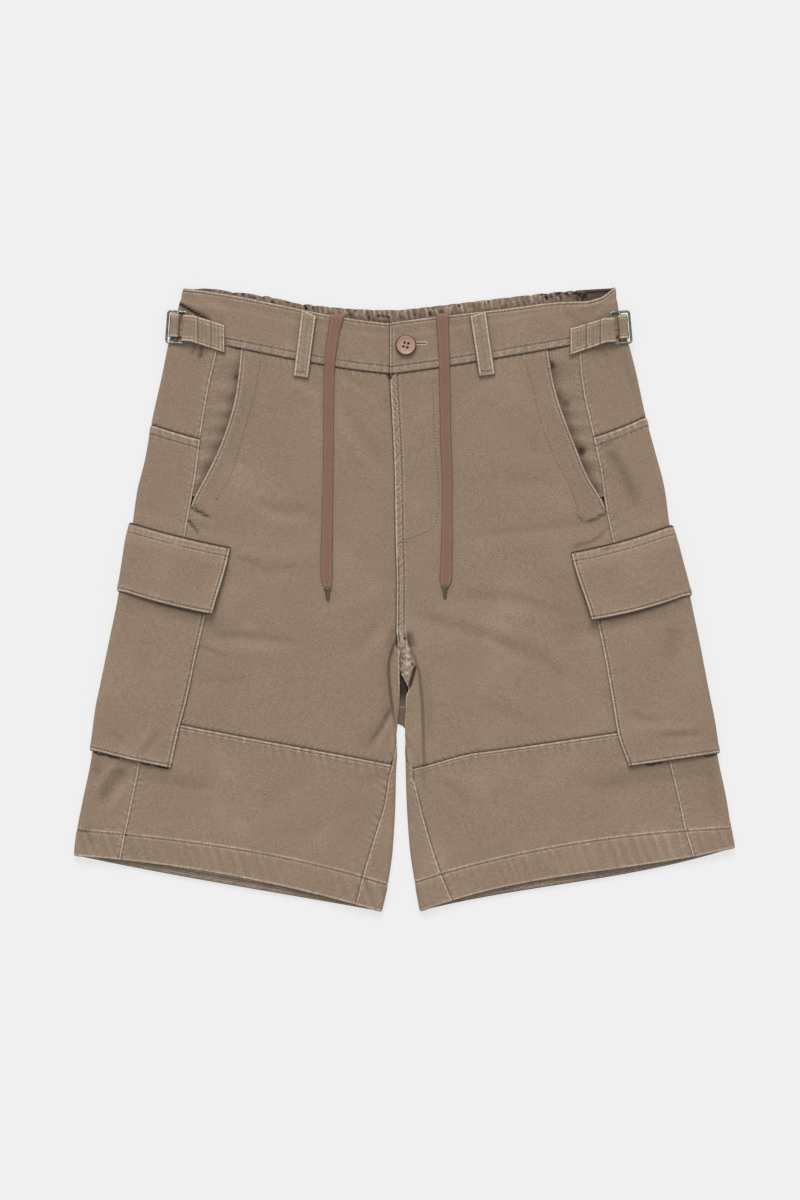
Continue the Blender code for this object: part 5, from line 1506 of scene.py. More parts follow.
def back_band():
    grids, shares = [], []
    for side in TABLES:
        t = graded(1.0, (0.0, 0.07, 0.17, 0.3), 0.06, 0.01) * (AT[side]["waist"] - TRIM)
        reach = back_length(side, np.zeros(1))[0]
        from_fold = np.linspace(BAND_WRAP - 8.0, reach, BACK_COLUMNS)
        girth = np.broadcast_to(2.0 + from_fold / reach, (len(t), BACK_COLUMNS))
        grid = leg(side, t[:, None], girth)
        shares.append(np.broadcast_to((t / t[-1])[:, None], girth.shape))
        if side == "right":
            grid = grid[:, ::-1][:, 1:]
            shares[-1] = shares[-1][:, ::-1][:, 1:]
        grids.append(grid)
    points = np.concatenate(grids, 1)
    share = np.concatenate(shares, 1)
    x = points[..., 0]
    notches = np.array(NOTCHES)
    i = np.clip(np.searchsorted(notches, x) - 1, 0, len(notches) - 2)
    puff = np.sin(np.pi * np.clip((x - notches[i]) / (notches[i + 1] - notches[i]), 0, 1)) ** 0.5
    full = np.where(x < -75, 1.5, np.where(x > 108, 1.2, 0.55))
    out = 0.35 + 2.5 * smooth((x + 190.0) / 12.0) * smooth((-96.0 - x) / 22.0)
    points[..., 1] += (full * (puff - 0.75) + out) * hump(share, 0.16)
    y = points[..., 1]
    height = 2.0 + full * puff * (0.35 + 0.65 * (1 - smooth(share * 1.6)))
    # The pale and dark folds are painted highlight and painted shade on the gathers, and lift them a
    # little too.
    gather_light_and_shade = 0.32 * hills(x, y, 1.9, 94) + 0.25 * ribs(x + 0.2 * y, 4.6, 95)
    for tall, tone, top_x, top_y, foot_x in LIGHT_FOLDS:
        mark = furrow(x, y, ((top_x, top_y), (foot_x, top_y - LIGHT_LENGTH)), LIGHT_WIDTH)
        height += 1.3 * tall * mark
        gather_light_and_shade += tone * mark
    for width, tone, *ends in DARK_FOLDS:
        mark = furrow(x, y, ends, width)
        height += 1.3 * (-0.5 if tone <= -0.7 else -0.2) * mark
        gather_light_and_shade += tone * mark
    height += 0.3 * gather_light_and_shade
    # The top edge is painted with shade, and so is the whole band a little, more towards its lower part
    # and its right end.
    dark_edge = 0.5 * hump(share, 0.012) * (1.0 - 0.6 * hills(x, 3.0, 7.0, 96))
    inside = 0.08 + 0.2 * smooth(share / 0.22) + 0.45 * smooth((x - 140.0) / 18.0)
    points[..., 2] = height
    cloth("waistband_back", points, [("top", "plain", ()), ("low", "plain", ())],
          wall=height - 0.15, up=0.0, painted_shade=np.clip(-gather_light_and_shade, 0, 1) + dark_edge + inside,
          wear_and_highlight=1.15 * np.clip(gather_light_and_shade, 0, 1), layer="back")


back_band()

# %% [markdown]
# ## Cargo pockets
#
# Each cargo pocket straddles the side of the leg and wraps round it. A bellows strip
# holds it off the leg, so its edges stand a few millimetres proud, and a stiff flap of
# two layers covers the mouth. The flap's free edge bows away and throws a shadow, which
# painted shadow on the pocket below deepens.
# %% Cargo pockets, flaps and bellows
POCKET_WIDTH = 160.0
FLAP_WIDTH = 170.0


def wrapped(side, t, name, whole, out, layer):
    """The grid of a piece that starts on the front, and wraps round the outer fold."""
    start = front_share(side, t, column(side, name, t))
    shown = np.abs(column(side, "outer_x", t) - column(side, name, t))
    far = whole - shown - OUTER_FOLD
    one = np.ones(len(t))
    girth = beside(columns(start, one, (1 - start) * front_length(side, t), near=(0.0, 2.3)),
                   columns(one, one * 2, one * 16.0, coarse=1.6, keep=0.0),
                   columns(one * 2, 2.0 + far / back_length(side, t), far, coarse=5.0))
    return girth, leg(side, t[:, None], girth, out, None, layer)


def cargo_pocket(side):
    at = AT[side]
    t = rows_from(at["flap_top"] + POCKET_TOP_DROP, at["pocket_low"], near=(), far=(0.0, 2.3))
    girth, points = wrapped(side, t, "pocket", POCKET_WIDTH, POCKET_FACE, "pocket_" + side)
    front = smooth((1.1 - girth) / 0.3)
    down = arcs(points, 0)
    low = down[-1:] - down
    raised = front * (1.3 * hump(low, 7.0) * (0.6 + 0.4 * hills(points[..., 0], 2.0, 26, 105))
                      - 1.3 * hump(arcs(points, 1), 2.6)
                      + 0.9 * hump(low - 45.0, 35.0))
    edges = [("start", "sewn", (2.3,)), ("low", "drop", (2.3,)), ("end", "fold", ())]
    # Painted shadow of the flap: a dark line just below its edge and a softer shade beyond.
    past = (t - at["flap_low"])[:, None]
    shade = 0.55 * hump(past - 1.0, 1.6) + 0.2 * hump(past - 2.0, 6.0)
    cloth("cargo_pocket_" + side, points, edges, 1.0, -SIGN[side], raised, painted_shade=front * shade,
          layer="pocket_" + side)


def flap(side):
    at = AT[side]
    t = rows_from(at["flap_top"], at["flap_low"], near=(0.0, 8.0), far=(0.0, 2.4), coarse=2.2)
    rise = smooth((t - at["flap_top"]) / POCKET_TOP_DROP)
    out = (2.8 + (FLAP_FACE - 2.8) * rise)[:, None]
    girth, points = wrapped(side, t, "flap", FLAP_WIDTH, out, "flap_" + side)
    front = smooth((1.1 - girth) / 0.4)
    share = ((t - t[0]) / (t[-1] - t[0]))[:, None]
    bow = 1.9 + 0.9 * hills(points[..., 0], 4.0, 38, 111)
    raised = front * (bow * smooth((share - 0.3) / 0.7) + 0.3 * smooth(share / 0.3))
    edges = [("start", "fold", (2.4,)), ("low", "drop", (2.4,)), ("end", "fold", (2.4,)),
             ("top", "sunk", (8.0,))]
    cloth("flap_" + side, points, edges, 1.5, -SIGN[side], raised, layer="flap_" + side)


def bellows(side):
    """A strip that turns two corners, round three sides of the pocket."""
    at = AT[side]
    first, last = at["flap_top"] + POCKET_TOP_DROP, at["pocket_low"]
    shown = lambda t: np.abs(column(side, "outer_x", t) - column(side, "pocket", t))
    rows = []
    for inset in np.linspace(2.5, 15.0, 6):
        down = np.linspace(first, last - inset, 40)
        near = front_share(side, down, column(side, "pocket", down) + SIGN[side] * inset)
        far = 2.0 + (POCKET_WIDTH - shown(down) - OUTER_FOLD - inset) / back_length(side, down)
        turn = np.concatenate([np.linspace(near[-1], 1.0, 20), np.linspace(1, 2, 9)[1:],
                               np.linspace(2.0, far[-1], 24)[1:]])
        t = np.concatenate([down, np.full(len(turn) - 2, down[-1]), down[::-1]])
        girth = np.concatenate([near, turn[1:-1], far[::-1]])
        rows.append(leg(side, t, girth, 1.3))
    points = np.array(rows)
    cloth("bellows_" + side, points, [("top", "fold", ())], 0.9, SIGN[side])


for side in TABLES:
    cargo_pocket(side)
    flap(side)
    bellows(side)

# %% [markdown]
# ## Belt loops, adjuster tabs and straps
#
# A belt loop is a folded strip, sewn at both ends over the waistband. An adjuster tab is
# sewn to the front waistband and folded round the inner bar of a slide buckle, and the
# strap that comes from the back turns over the buckle's middle bar.
# %% Belt loops
BELT_LOOPS = {
    # top_x, top_y, bottom_x, bottom_y of the centre line, width
    "left": (-83.6, 250.2, -90.6, 194.3, 12.2),
    "right": (64.3, 249.4, 72.3, 195.8, 13.2),
}
ON_BAND = 0.8           # rise of the waistband's turned layers


def ribbon(name, spine, across, heights, edges, wall, slant):
    """A strip of cloth from its centre line, its half widths across, and its heights."""
    place = graded(2.0, (0.0, 2.0), 0.16, 0.05, 0.3) - 1.0
    grid = spine[:, None] + place[None, :, None] * across[:, None]
    grid[..., 1] += slant * place * np.linspace(1.0, 0.0, len(spine))[:, None] ** 2
    points = np.concatenate([grid, np.broadcast_to(heights[:, None], grid.shape[:2])[..., None]], -1)
    return cloth(name, points, edges, wall, -1.0, layer="loop")


def belt_loop(side):
    x0, y0, x1, y1, width = BELT_LOOPS[side]
    long = math.hypot(x1 - x0, y1 - y0)
    share = graded(long, (0.0, long), 1.2, 0.5) / long
    spine = np.array([x0, y0]) + share[:, None] * np.array([x1 - x0, y1 - y0])
    way = np.array([x1 - x0, y1 - y0]) / long
    across = np.array([-way[1], way[0]]) * width / 2
    across = np.broadcast_to(across, spine.shape)
    ground = [on_front(side, *(spine + k * across).T, 0.0)[:, 2] for k in (-1, 0, 1)]
    arch = 0.35 + 1.3 * np.sin(np.pi * share) ** 0.6
    heights = np.max(ground, axis=0) + ON_BAND + arch + 1.4
    edges = [("start", "strip", (2.2,)), ("end", "strip", (2.2,)), ("top", "fold", ()),
             ("low", "strip", ())]
    ribbon("belt_loop_" + side, spine, across, heights, edges, 1.3, -2.0 if side == "left" else 1.2)


for side in TABLES:
    belt_loop(side)

# %% [markdown]
# Tabs and straps are strips that turn round a metal bar. A few rows of two points say how
# each one goes, in the buckle's own directions, and a smooth curve adds the rows between.
# %% Where the buckles lie
BUCKLES = {
    # centre_x, centre_y, height of its middle, turn and slope in degrees
    "left": (-199.3, 237.6, 8.4, -4, 9),
    "right": (189.4, 237.4, 8.4, 5, 9),
}
BUCKLE_SIZE = (19.0, 29.5)
BUCKLE_BAR = 2.2
BUCKLE_WALL = 1.7
TABS = {
    # inner end: x, y top, y bottom; y top and y bottom on the buckle's inner bar
    "left": (-157.6, 239.3, 215.6, 248.6, 225.9),
    "right": (145.3, 236.4, 213.6, 246.2, 225.3),
}
STRAPS = {
    # y top and y bottom of the rear strap where it goes round the centre bar
    "left": (248.8, 229.2),
    "right": (247.8, 227.8),
}


def buckle_place(side, points):
    """Points of a buckle, whose own +X is outward, put where it lies."""
    x, y, z, turn, slope = BUCKLES[side]
    points = np.asarray(points, float)
    a, b = math.radians(slope), math.radians(turn)
    out = (points[..., 0] * math.cos(a) + points[..., 2] * math.sin(a)) * SIGN[side]
    up = points[..., 2] * math.cos(a) - points[..., 0] * math.sin(a)
    return np.stack([x + out * math.cos(b) - points[..., 1] * math.sin(b),
                     y + out * math.sin(b) + points[..., 1] * math.cos(b), z + up], -1)


def along_rows(rows, step):
    """Rows of a strip at even steps through the given ones."""
    rows = np.array(rows)
    reach = arcs(rows.mean(axis=1), 0)
    at = np.linspace(0, reach[-1], int(reach[-1] / step) + 1)
    flat = rows.reshape(len(rows), -1)
    even = np.stack([through(reach, flat[:, k], at) for k in range(flat.shape[1])], 1)
    return even.reshape(-1, *rows.shape[1:])


def widened(rows):
    """A grid across each row, close together at its edges, with y from low to top."""
    place = graded(2.0, (0.0, 2.0), 0.14, 0.05, 0.3) / 2.0
    return rows[:, :1] + (rows[:, 1:2] - rows[:, :1]) * place[None, :, None]


print("the buckles are turned by", [place[3] for place in BUCKLES.values()], "degrees")

# %% [markdown]
# The tab climbs from the waistband to the buckle's inner bar and folds round it, with
# two crossways folds where it was pressed. The strap shows as the loop on the middle bar.
# %% Adjuster tabs and rear straps


def tab(side):
    """Sewn on the waistband at its inner end, folded round the buckle's inner bar."""
    x0, top0, low0, top1, low1 = TABS[side]
    bar = (BUCKLE_SIZE[0] - BUCKLE_BAR) / 2
    over = BUCKLE_WALL / 2 + 0.4 + 1.3
    reach = BUCKLE_BAR / 2 + 0.45 + 1.3
    ends = np.array([low1, top1]) - BUCKLES[side][1]
    folded = [buckle_place(side, np.stack([np.full(2, -bar + dx), ends, np.full(2, z)], -1))
              for dx, z in ((-reach, over - 0.2), (-0.3, over + 0.1), (reach * 0.72, over - 0.75),
                            (reach, 0.0))]
    bar_x, rise = folded[0][:, 0], folded[0][:, 2]
    rows = []
    for k in np.linspace(0, 1, 14)[:-1]:
        x = x0 + (bar_x - x0) * k
        y = np.array([low0 + (low1 - low0) * k, top0 + (top1 - top0) * k])
        ground = on_front(side, x, y, ON_BAND + 0.3 + 1.3)[:, 2].max()
        z = ground + (rise - ground) * smooth((k - 0.45) / 0.45) + 0.15 * math.sin(9 * k)
        rows.append(np.stack([x, y, z], -1))
    grid = widened(along_rows(rows + folded, 0.5))
    down = arcs(grid, 0)
    stops = (12.5, 24.5) if side == "left" else (14.5, 27.5)
    # Painted shade along the two pressed folds, and painted highlight just past each.
    folds = sum(hump(down - stop, 0.6) for stop in stops)
    wear_and_highlight = sum(hump(down - stop - 1.2, 0.7) for stop in stops)
    wave = 0.16 * ribs(down, 3.1, 121 if side == "left" else 122) * smooth((28.0 - down) / 4.0)
    edges = [("start", "strip", (2.2,)), ("end", "strip", (2.2,)), ("top", "strip", (2.0,)),
             ("low", "fold", ())]
    cloth("tab_" + side, grid, edges, 1.25, -SIGN[side], -0.2 * folds, wave, wear_and_highlight=0.3 * wear_and_highlight,
          painted_shade=0.6 * folds, layer="tab")


def rear_strap(side):
    """The strap from the back, folded over the buckle's centre bar."""
    ends = np.array(STRAPS[side])[::-1] - BUCKLES[side][1]
    path = ((6.9, -1.3), (6.4, -0.1), (4.9, 1.8), (3.2, 2.45), (1.5, 2.6), (-0.2, 2.5), (-1.4, 2.0),
            (-2.3, 0.9), (-2.6, -0.3))
    rows = np.array([[(x, k, z) for k in ends] for x, z in path])
    grid = buckle_place(side, widened(along_rows(rows, 0.4)))
    edges = [("start", "strip", (2.0,)), ("end", "strip", (2.0,))]
    down = arcs(grid, 0)
    # Painted shade at both ends, where the strap turns under.
    tuck = 0.5 * hump(down, 2.2) + 0.7 * hump(down[-1:] - down, 2.0)
    cloth("strap_" + side, grid, edges, 0.85, SIGN[side], painted_shade=tuck,
          layer="strap")


for side in TABLES:
    tab(side)
    rear_strap(side)

# %% [markdown]
# ## Buckles and button
#
# The slide buckles are cast frames with a bar across the middle, rounded all over, so an
# oval section runs along their outline. The button is turned, with a raised rim, a
# shallow dish and four holes.
# %% Buckles


def rounded_box(wide, high, radius, count=10):
    found = []
    for k, (sx, sy) in enumerate(((1, 1), (-1, 1), (-1, -1), (1, -1))):
        turns = np.pi / 2 * (k + np.arange(count + 1) / count)
        found.append(np.stack([sx * (wide / 2 - radius) + radius * np.cos(turns),
                               sy * (high / 2 - radius) + radius * np.sin(turns)], -1))
    return np.concatenate(found)


def bar_faces(line, ways, half_wide, half_tall, closed):
    """A rounded bar along a line in the plane of the buckle."""
    turns = 2 * np.pi * np.arange(14) / 14
    side_way = np.stack([ways[:, 1], -ways[:, 0]], -1)
    flat = line[:, None] + side_way[:, None] * (half_wide * np.cos(turns))[None, :, None]
    tall = np.broadcast_to(half_tall * np.sin(turns), flat.shape[:2])
    points = np.concatenate([flat, tall[..., None]], -1).reshape(-1, 3)
    faces = grid_faces(len(line), 14, 0, True)
    if closed:
        last = (len(line) - 1) * 14
        faces += [[last + k, last + (k + 1) % 14, (k + 1) % 14, k] for k in range(14)]
    else:
        faces += [list(range(14)), list(range(len(line) * 14 - 14, len(line) * 14))[::-1]]
    return points, faces


def joined(*parts):
    points, faces = [], []
    for some, quads in parts:
        faces += [[n + sum(map(len, points)) for n in quad] for quad in quads]
        points.append(some)
    return np.concatenate(points), faces


def buckle(side):
    wide, high = BUCKLE_SIZE[0] - BUCKLE_BAR, BUCKLE_SIZE[1] - BUCKLE_BAR
    outline = rounded_box(wide, high, 2.2)
    ways = np.roll(outline, -1, 0) - np.roll(outline, 1, 0)
    ways /= np.linalg.norm(ways, axis=1, keepdims=True)
    frame_part = bar_faces(outline, ways, BUCKLE_BAR / 2, BUCKLE_WALL / 2, True)
    middle = np.stack([np.zeros(12), np.linspace(-high / 2, high / 2, 12)], -1)
    bar_part = bar_faces(middle, np.broadcast_to((0.0, 1.0), (12, 2)), BUCKLE_BAR / 2,
                         BUCKLE_WALL / 2 - 0.05, False)
    points, faces = joined(frame_part, bar_part)
    make("buckle_" + side, buckle_place(side, points), faces, "metal", None, ["buckle_" + side])
    print("buckle", side, "is", BUCKLE_SIZE[0], "by", BUCKLE_SIZE[1], "mm")


for side in TABLES:
    buckle(side)

# %% [markdown]
# The button's profile goes round its axis as rings of points. The four holes are pressed
# into the rings: that leaves a cleaner mesh than cutting them out would.
# %% Button
BUTTON = (1.4, 221.8)
BUTTON_HOLES = ((-2.2, -1.3), (1.2, -2.1), (2.1, 1.3), (-1.3, 2.0))
HOLE = 1.0


def button():
    x, y = BUTTON
    base = on_front("right", np.array([x]), np.array([y]), ON_BAND + 0.15)[0, 2]
    profile = np.array([(0.0, 0.0), (6.0, 0.0), (8.0, 0.45), (8.75, 1.1), (9.05, 1.9), (8.9, 2.6),
                        (8.4, 3.05), (7.7, 3.2), (7.0, 3.1), (6.5, 2.75), (6.1, 2.45), (5.4, 2.3),
                        (4.6, 2.25), (3.9, 2.25), (3.2, 2.25), (2.4, 2.25), (1.6, 2.25),
                        (0.8, 2.25), (0.05, 2.25)])
    turns = 2 * np.pi * np.arange(96) / 96
    r, z = profile[:, :1], profile[:, 1:] + base
    px, py = r * np.cos(turns), r * np.sin(turns)
    pz = np.broadcast_to(z, px.shape).copy()
    # Painted shade on the rim's outer wall and in the four holes.
    painted_shade = np.broadcast_to(smooth((r - 7.95) / 0.3) * (z - base < 3.12), px.shape).copy()
    top = np.arange(len(profile))[:, None] > 9
    for hx, hy in BUTTON_HOLES:
        off = np.hypot(px - hx, py - hy)
        pz -= np.where(top, 1.5 * (1 - smooth((off - HOLE * 0.6) / (HOLE * 0.7))), 0)
        painted_shade += np.where(top, 1 - smooth((off - HOLE * 0.8) / (HOLE * 0.5)), 0)
    rings = np.stack([px + x, py + y, pz], -1).reshape(-1, 3)
    faces = grid_faces(len(profile), 96, 0, True) + [list(range(96))]
    faces += [list(range(len(rings) - 96, len(rings)))[::-1]]
    make("button", rings, faces, "button", {"painted_shade": np.clip(painted_shade, 0, 1).ravel()}, ["button"])
    print("the button is", 2 * float(r.max()), "mm across")


button()

# %% [markdown]
# ## Sewing
#
# A lockstitch shows as short lengths of thread with a needle hole between each two. Every
# stitch is a small rounded rod whose ends dive into the cloth. Its row follows a piece's
# own edge at a fixed distance, so it bends with the piece.
# %% Stitches
PITCH = 3.0
STITCH = 2.1
THREAD = 0.32
STITCH_COUNT = []


def row_beside(piece, place, distance, first=0.0, last=1.0):
    """The line on a piece at a distance from one of its edges, with its normals."""
    reach, face, up = piece["reach"][place], piece["face"], piece["up"]
    if place in ("top", "low"):
        reach, face, up = reach.T, face.transpose(1, 0, 2), up.transpose(1, 0, 2)
    if place in ("end", "low"):
        reach, face, up = reach[:, ::-1], face[:, ::-1], up[:, ::-1]
    count = len(reach)
    chosen = range(int(first * (count - 1)), int(last * (count - 1)) + 1)
    line, normals = [], []
    for k in chosen:
        spot = np.interp(distance, reach[k], np.arange(reach.shape[1]))
        i = min(int(spot), reach.shape[1] - 2)
        share = spot - i
        line.append(face[k, i] * (1 - share) + face[k, i + 1] * share)
        normals.append(up[k, i])
    return np.array(line), np.array(normals)


def hem_row(piece, first=0.0, last=1.0):
    """The line on a piece along the row that its hem is sewn on."""
    i, share = int(piece["row"]), piece["row"] - int(piece["row"])
    count = piece["face"].shape[1]
    cut = slice(int(first * count), int(last * count))
    line = piece["face"][i, cut] * (1 - share) + piece["face"][i + 1, cut] * share
    return line, piece["up"][i, cut]


def stitches(rows, pitch=PITCH, long=STITCH, thick=THREAD):
    """Points and faces of the stitches along some rows of (line, normals)."""
    stations = np.array([-0.5, -0.3, 0.3, 0.5]) * long
    lift_of = np.array([-0.25, 0.16, 0.16, -0.25])
    size = np.array([0.6, 1.0, 1.0, 0.6]) * thick
    turns = 2 * np.pi * np.arange(6) / 6
    found = []
    for line, normals in rows:
        reach = arcs(line, 0)
        centres = np.arange(pitch / 2, reach[-1] - pitch / 3, pitch)
        if not len(centres):
            continue
        at = centres[:, None] + stations
        middle = np.stack([np.interp(at, reach, line[:, k]) for k in range(3)], -1)
        up = np.stack([np.interp(at, reach, normals[:, k]) for k in range(3)], -1)
        along = middle[:, -1:] - middle[:, :1]
        along = along / np.linalg.norm(along, axis=-1, keepdims=True)
        sideways = np.cross(np.broadcast_to(along, up.shape), up)
        sideways /= np.linalg.norm(sideways, axis=-1, keepdims=True)
        middle = middle + up * lift_of[None, :, None]
        ring = (middle[:, :, None] + up[:, :, None] * (size[:, None] * np.sin(turns))[None, ..., None]
                + sideways[:, :, None] * (size[:, None] * np.cos(turns))[None, ..., None])
        found.append(ring.reshape(-1, 24, 3))
    points = np.concatenate(found)
    one = np.array(grid_faces(4, 6, 0, True))
    faces = (one[None] + 24 * np.arange(len(points))[:, None, None]).reshape(-1, 4).tolist()
    STITCH_COUNT.append(len(points))
    return points.reshape(-1, 3), faces


def sew(name, rows, finish="thread", **sizes):
    points, faces = stitches(rows, **sizes)
    return make(name, points, faces, finish)


def shadow_strip(name, rows, half=0.55, tone=0.5):
    """Thin strips painted with shade along rows that cross open cloth, for their furrows' shadow."""
    points, faces, values = [], [], []
    for line, normals in rows:
        along = np.gradient(line, axis=0)
        out = np.cross(along, normals)
        out *= half / np.linalg.norm(out, axis=1, keepdims=True)
        ring = np.stack([line - out - 0.1 * normals, line + 0.07 * normals, line + out - 0.1 * normals,
                         line - 0.4 * normals], 1)
        faces += grid_faces(len(line), 4, sum(map(len, points)), True)
        points.append(ring.reshape(-1, 3))
        values += [tone * 0.6, tone, tone * 0.6, tone] * len(line)
    make(name, np.concatenate(points), faces, "cotton", {"painted_shade": np.array(values)})


print("a stitch is", STITCH, "mm long, its thread", 2 * THREAD, "mm thick")

# %% [markdown]
# Topstitching holds the turned layers flat and shows where the pieces meet. Each row of
# this table names a piece, the edge that it follows, the distance from it, and where on
# the edge it starts and ends, when it isn't sewn from end to end.
# %% Topstitching
TOPSTITCHING = (
    ("front_", "end", 1.9, 0, 0.47), ("lower_front_", "top", 1.9), ("back_", "top", 6.9, 0, 0.36),
    ("back_", "start", 1.8), ("yoke_", "start", 1.8), ("lower_front_", "hem", 0),
    ("back_", "hem", 0, 0, 0.36), ("waistband_", "top", 1.9, 0, 0.75),
    ("waistband_", "low", 0.8, 0, 0.75), ("waistband_", "low", 6.3, 0, 0.75),
    ("flap_", "top", 8, 0, 0.75), ("flap_", "low", 2.4, 0, 0.75), ("flap_", "start", 2.4),
    ("cargo_pocket_", "start", 2.3), ("cargo_pocket_", "low", 2.3, 0, 0.75),
    ("tab_", "start", 2), ("tab_", "end", 2), ("tab_", "top", 1.6),
    ("belt_loop_", "start", 1.9), ("belt_loop_", "end", 1.9),
)
FLY_EDGE = (("front_", "start", 6.6, 0, 0.68), ("front_", "start", 1.8, 0.5, 0.68),
            ("waistband_", "start", 1.6))


def sewn_row(side, name, edge, distance, *share):
    piece = PIECES[name + side]
    return hem_row(piece, *share) if edge == "hem" else row_beside(piece, edge, distance, *share)


for side in TABLES:
    chosen = TOPSTITCHING + (FLY_EDGE if side == "right" else ())
    sew("topstitching_" + side, [sewn_row(side, *row) for row in chosen])
print(sum(STITCH_COUNT), "stitches")

# %% [markdown]
# Some rows cross a panel freely: the fly's curved stitching, the line that holds each
# pocket bag, the bartacks at strained corners and the buttonhole. They are drawn as plain
# lines from above and dropped on to the cloth.
# %% Free lines and bartacks
SURFACES = {}


def dropped(name, line, step=0.9):
    """A line drawn from above, laid on a piece, with the cloth's normals."""
    if name not in SURFACES:
        face = PIECES[name]["face"]
        quads = grid_faces(*face.shape[:2])
        SURFACES[name] = BVHTree.FromPolygons(face.reshape(-1, 3).tolist(), quads)
    line = np.array(line, float)
    reach = arcs(line, 0)
    at = np.linspace(0, reach[-1], max(3, int(reach[-1] / step) + 2))
    x, y = (through(reach, line[:, k], at) for k in (0, 1))
    points, normals = [], []
    for a, b in zip(x, y):
        spot, normal, _, _ = SURFACES[name].ray_cast(Vector((a, b, 60.0)), Vector((0, 0, -1)))
        if spot is not None:
            points.append(spot[:])
            normals.append((normal if normal.z > 0 else -normal)[:])
    return np.array(points), np.array(normals)


FREE_LINES = {
    "fly_stitching": ("front_right", ((25, 194.4), (26.4, 136.3), (29.3, 107.5), (30.1, 85.6),
                                      (26.8, 65), (11.9, 55.8), (-4, 51))),
    "bag_stitching_right": ("front_right", ((105.5, 209), (112.5, 186.2), (120.2, 153),
                                            (133.4, 120.6), (146.7, 95.2), (158.9, 66.8),
                                            (161.5, 66.8), (176, 74.5))),
    "bag_stitching_left": ("front_left", ((-126.4, 207), (-129.9, 186.2), (-139.5, 151.2),
                                          (-152.6, 107.5), (-164.9, 86.5))),
}
SHADOWS = {
    # the dark gaps under the pockets' bottoms
    "gap_left_out": ("back_left", ((-272, -133.9), (-266, -136.4), (-262, -136), (-256, -138.6),
                                   (-249, -139.2))),
    "gap_left_in": ("lower_front_left", ((-231, -143), (-226, -145.2), (-222, -144.9), (-214, -147.4),
                                         (-207, -148.6))),
    "gap_right_in": ("lower_front_right", ((211, -145), (216, -145.3), (220, -144.1), (226, -143.4))),
    "gap_right_out": ("back_right", ((262, -137.7), (266, -137.9), (272, -136.3))),
}
for name, (piece, line) in FREE_LINES.items():
    sew(name, [dropped(piece, line)])
    # A strip painted with shade lies under each line, for the shadow of its pinched furrow.
    shadow_strip(name + "_welt", [dropped(piece, line)], tone=0.75)
for name, (piece, line) in SHADOWS.items():
    shadow_strip(name, [dropped(piece, line)], 1.3, 1.9)
print(len(FREE_LINES), "free lines and", len(SHADOWS), "dark gaps")

# %% [markdown]
# A bartack locks a strained corner: dense stitches side by side across a short bar.
# %% Bartacks
BARTACKS = (
    # piece, x, y, degrees, length
    ("flap_left", -197.2, 46.6, -15, 12), ("flap_right", 179.9, 44.9, 14, 15),
    ("cargo_pocket_left", -201.6, -143, 75, 8), ("cargo_pocket_right", 193, -143, 105, 8),
    ("front_right", -0.5, 50.2, 0, 7), ("flap_right", 149.6, 37.5, 100, 6),
    ("belt_loop_left", -90.1, 199, 3, 9), ("belt_loop_right", 71.9, 200, 5, 9),
    ("front_left", -183.5, 80.5, 60, 7), ("front_right", 172.5, 82, -60, 7),
)


def bartack(piece, x, y, turn, long, wide=1.9):
    """Dense stitches side by side across a short bar."""
    a = math.radians(turn)
    rows = []
    for k in np.arange(-long / 2, long / 2, 0.55):
        middle = np.array([x + k * math.cos(a), y + k * math.sin(a)])
        lean = a + math.pi / 2 + 0.12
        half = np.array([math.cos(lean), math.sin(lean)]) * wide / 2
        rows.append(dropped(piece, (middle - half, middle + half), 0.5))
    return [row for row in rows if len(row[0]) > 2]


tacks = [row for tack in BARTACKS for row in bartack(*tack)]
sew("bartacks", tacks, pitch=1.75, long=1.8, thick=0.26)
print(len(BARTACKS), "bartacks of", len(tacks), "rows")

# %% [markdown]
# Thread ends stay where a machine starts and stops, and many of them are tangled at the
# crotch. Each is a short bent line, thrown with a seeded dice inside a small field.
# %% Tangled threads
TANGLES = (
    # piece, x, y, width, height, how many loose threads
    ("front_right", -2.2, -30, 5, 14, 26), ("front_right", -0.6, -40, 6, 10, 26),
    ("front_right", 0.8, -49.5, 9, 11, 44), ("front_right", 0.3, -58.5, 8, 8, 26),
    ("waistband_left", -104.5, 212.6, 3, 1.5, 4), ("waistband_left", -25.7, 203.7, 3, 3, 5),
    ("flap_right", 150, 37.6, 6, 3, 9), ("lower_front_left", -202.6, -142.5, 2, 5, 6),
    ("lower_front_right", 193.8, -144.5, 3, 5, 8),
)

dice = np.random.default_rng(7)
for piece, x, y, wide, tall, count in TANGLES:
    rows = []
    for _ in range(count):
        spot = np.array([x, y]) + dice.uniform(-0.5, 0.5, 2) * (wide, tall)
        turn, long = dice.uniform(0.6, 2.6), dice.uniform(0.8, 1.9)
        half = np.array([math.cos(turn), math.sin(turn)]) * long
        bend = np.array([-half[1], half[0]]) * dice.uniform(-0.6, 0.6)
        rows.append(dropped(piece, (spot - half, spot + bend, spot + half), 0.4))
    sew("tangle_%s_%d" % (piece, round(y)), [row for row in rows if len(row[0]) > 2], "pale",
        pitch=0.9, long=1.25, thick=0.2)
print(sum(STITCH_COUNT), "stitches with the free lines")

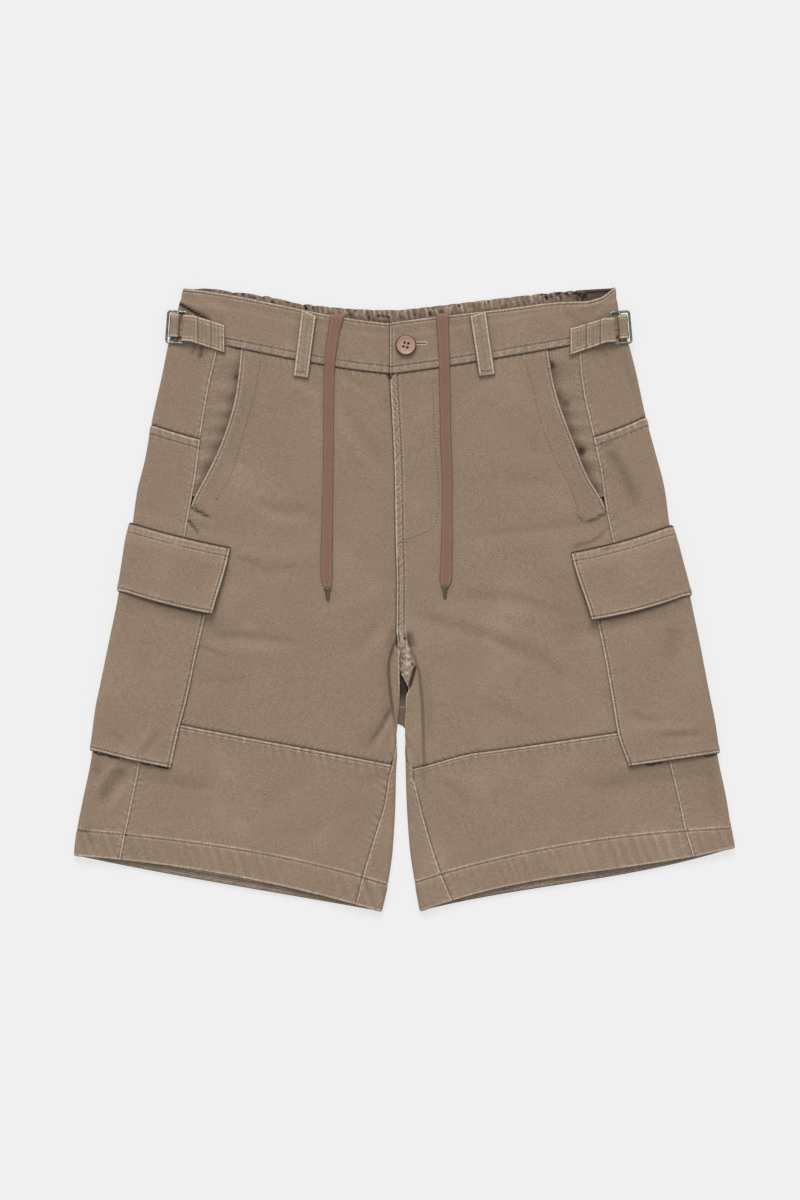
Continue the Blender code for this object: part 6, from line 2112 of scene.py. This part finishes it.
# %% [markdown]
# A keyhole buttonhole is a slit with a round eye, bound by short stitches side by side.
# The slit stays nearly shut, so a strip painted with shade stands for it and the band isn't cut.
# %% Buttonhole
SLIT = (6.6, 223.3)
EYELET = (18.2, 223.4)
rows = []
for dx in np.arange(0.0, 9.6, 0.55):
    for way in (-1, 1):
        spot = np.array(SLIT) + (dx, 0)
        rows.append(dropped("waistband_right", (spot + (0, 0.35 * way), spot + (0.1, 2.0 * way)), 0.4))
for turn in np.radians(np.arange(-140, 141, 20)):
    out = np.array([math.cos(turn), math.sin(turn)])
    ends = (np.array(EYELET) + 0.8 * out, np.array(EYELET) + 2.4 * out)
    rows.append(dropped("waistband_right", ends, 0.4))
sew("buttonhole", [row for row in rows if len(row[0]) > 2], "pale", pitch=1.6, long=1.7, thick=0.32)
shadow_strip("buttonhole_slit_shade", [dropped("waistband_right", (SLIT, EYELET), 0.6)], 0.6, 1.0)
print("the buttonhole is", round(EYELET[0] - SLIT[0], 1), "mm long")

# %% [markdown]
# ## Light and sky
#
# One large soft light stands beyond the waistband, so that ridges are bright on their
# waist side and dark below. Everything else is filled by an even sky.
# %% Light
FLOOR_COLOUR = (0.18, 0.18, 0.18)
FLOOR_GLOW = 0.691      # a lit table: it keeps the shadows on it pale
SUN_HEIGHT = 39.0       # degrees above the floor
SUN_TURN = 5.0          # degrees from the waist towards the left
SUN_STRENGTH = 2.15
SKY_STRENGTH = 0.58

sun_data = bpy.data.lights.new("window", "SUN")
sun_data.energy = SUN_STRENGTH
sun_data.angle = math.radians(28.0)
sun = bpy.data.objects.new("window", sun_data)
turn, high = math.radians(SUN_TURN), math.radians(SUN_HEIGHT)
way = Vector((math.sin(turn) * math.cos(high), -math.cos(turn) * math.cos(high), -math.sin(high)))
sun.rotation_euler = way.to_track_quat("-Z", "Y").to_euler()
bpy.context.collection.objects.link(sun)
world = bpy.data.worlds.new("sky")
world.use_nodes = True
world.node_tree.nodes["Background"].inputs[0].default_value = (1.0, 1.0, 1.0, 1.0)
world.node_tree.nodes["Background"].inputs[1].default_value = SKY_STRENGTH
bpy.context.scene.world = world
bpy.context.scene.view_settings.view_transform = "Standard"
paper = new_material("paper", FLOOR_COLOUR, 0.95, Specular_IOR_Level=0.0,
                     Emission_Color=(1.0, 1.0, 1.0, 1.0), Emission_Strength=FLOOR_GLOW)
floor_mesh.materials.append(paper[0])
print("lights placed")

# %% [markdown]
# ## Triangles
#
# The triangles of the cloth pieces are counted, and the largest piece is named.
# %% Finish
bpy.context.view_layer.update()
triangles = {name: sum(len(p.vertices) - 2 for p in piece["object"].data.polygons)
             for name, piece in PIECES.items()}
largest = max(triangles, key=triangles.get)
print("triangles of cloth:", sum(triangles.values()), "largest:", largest, triangles[largest])
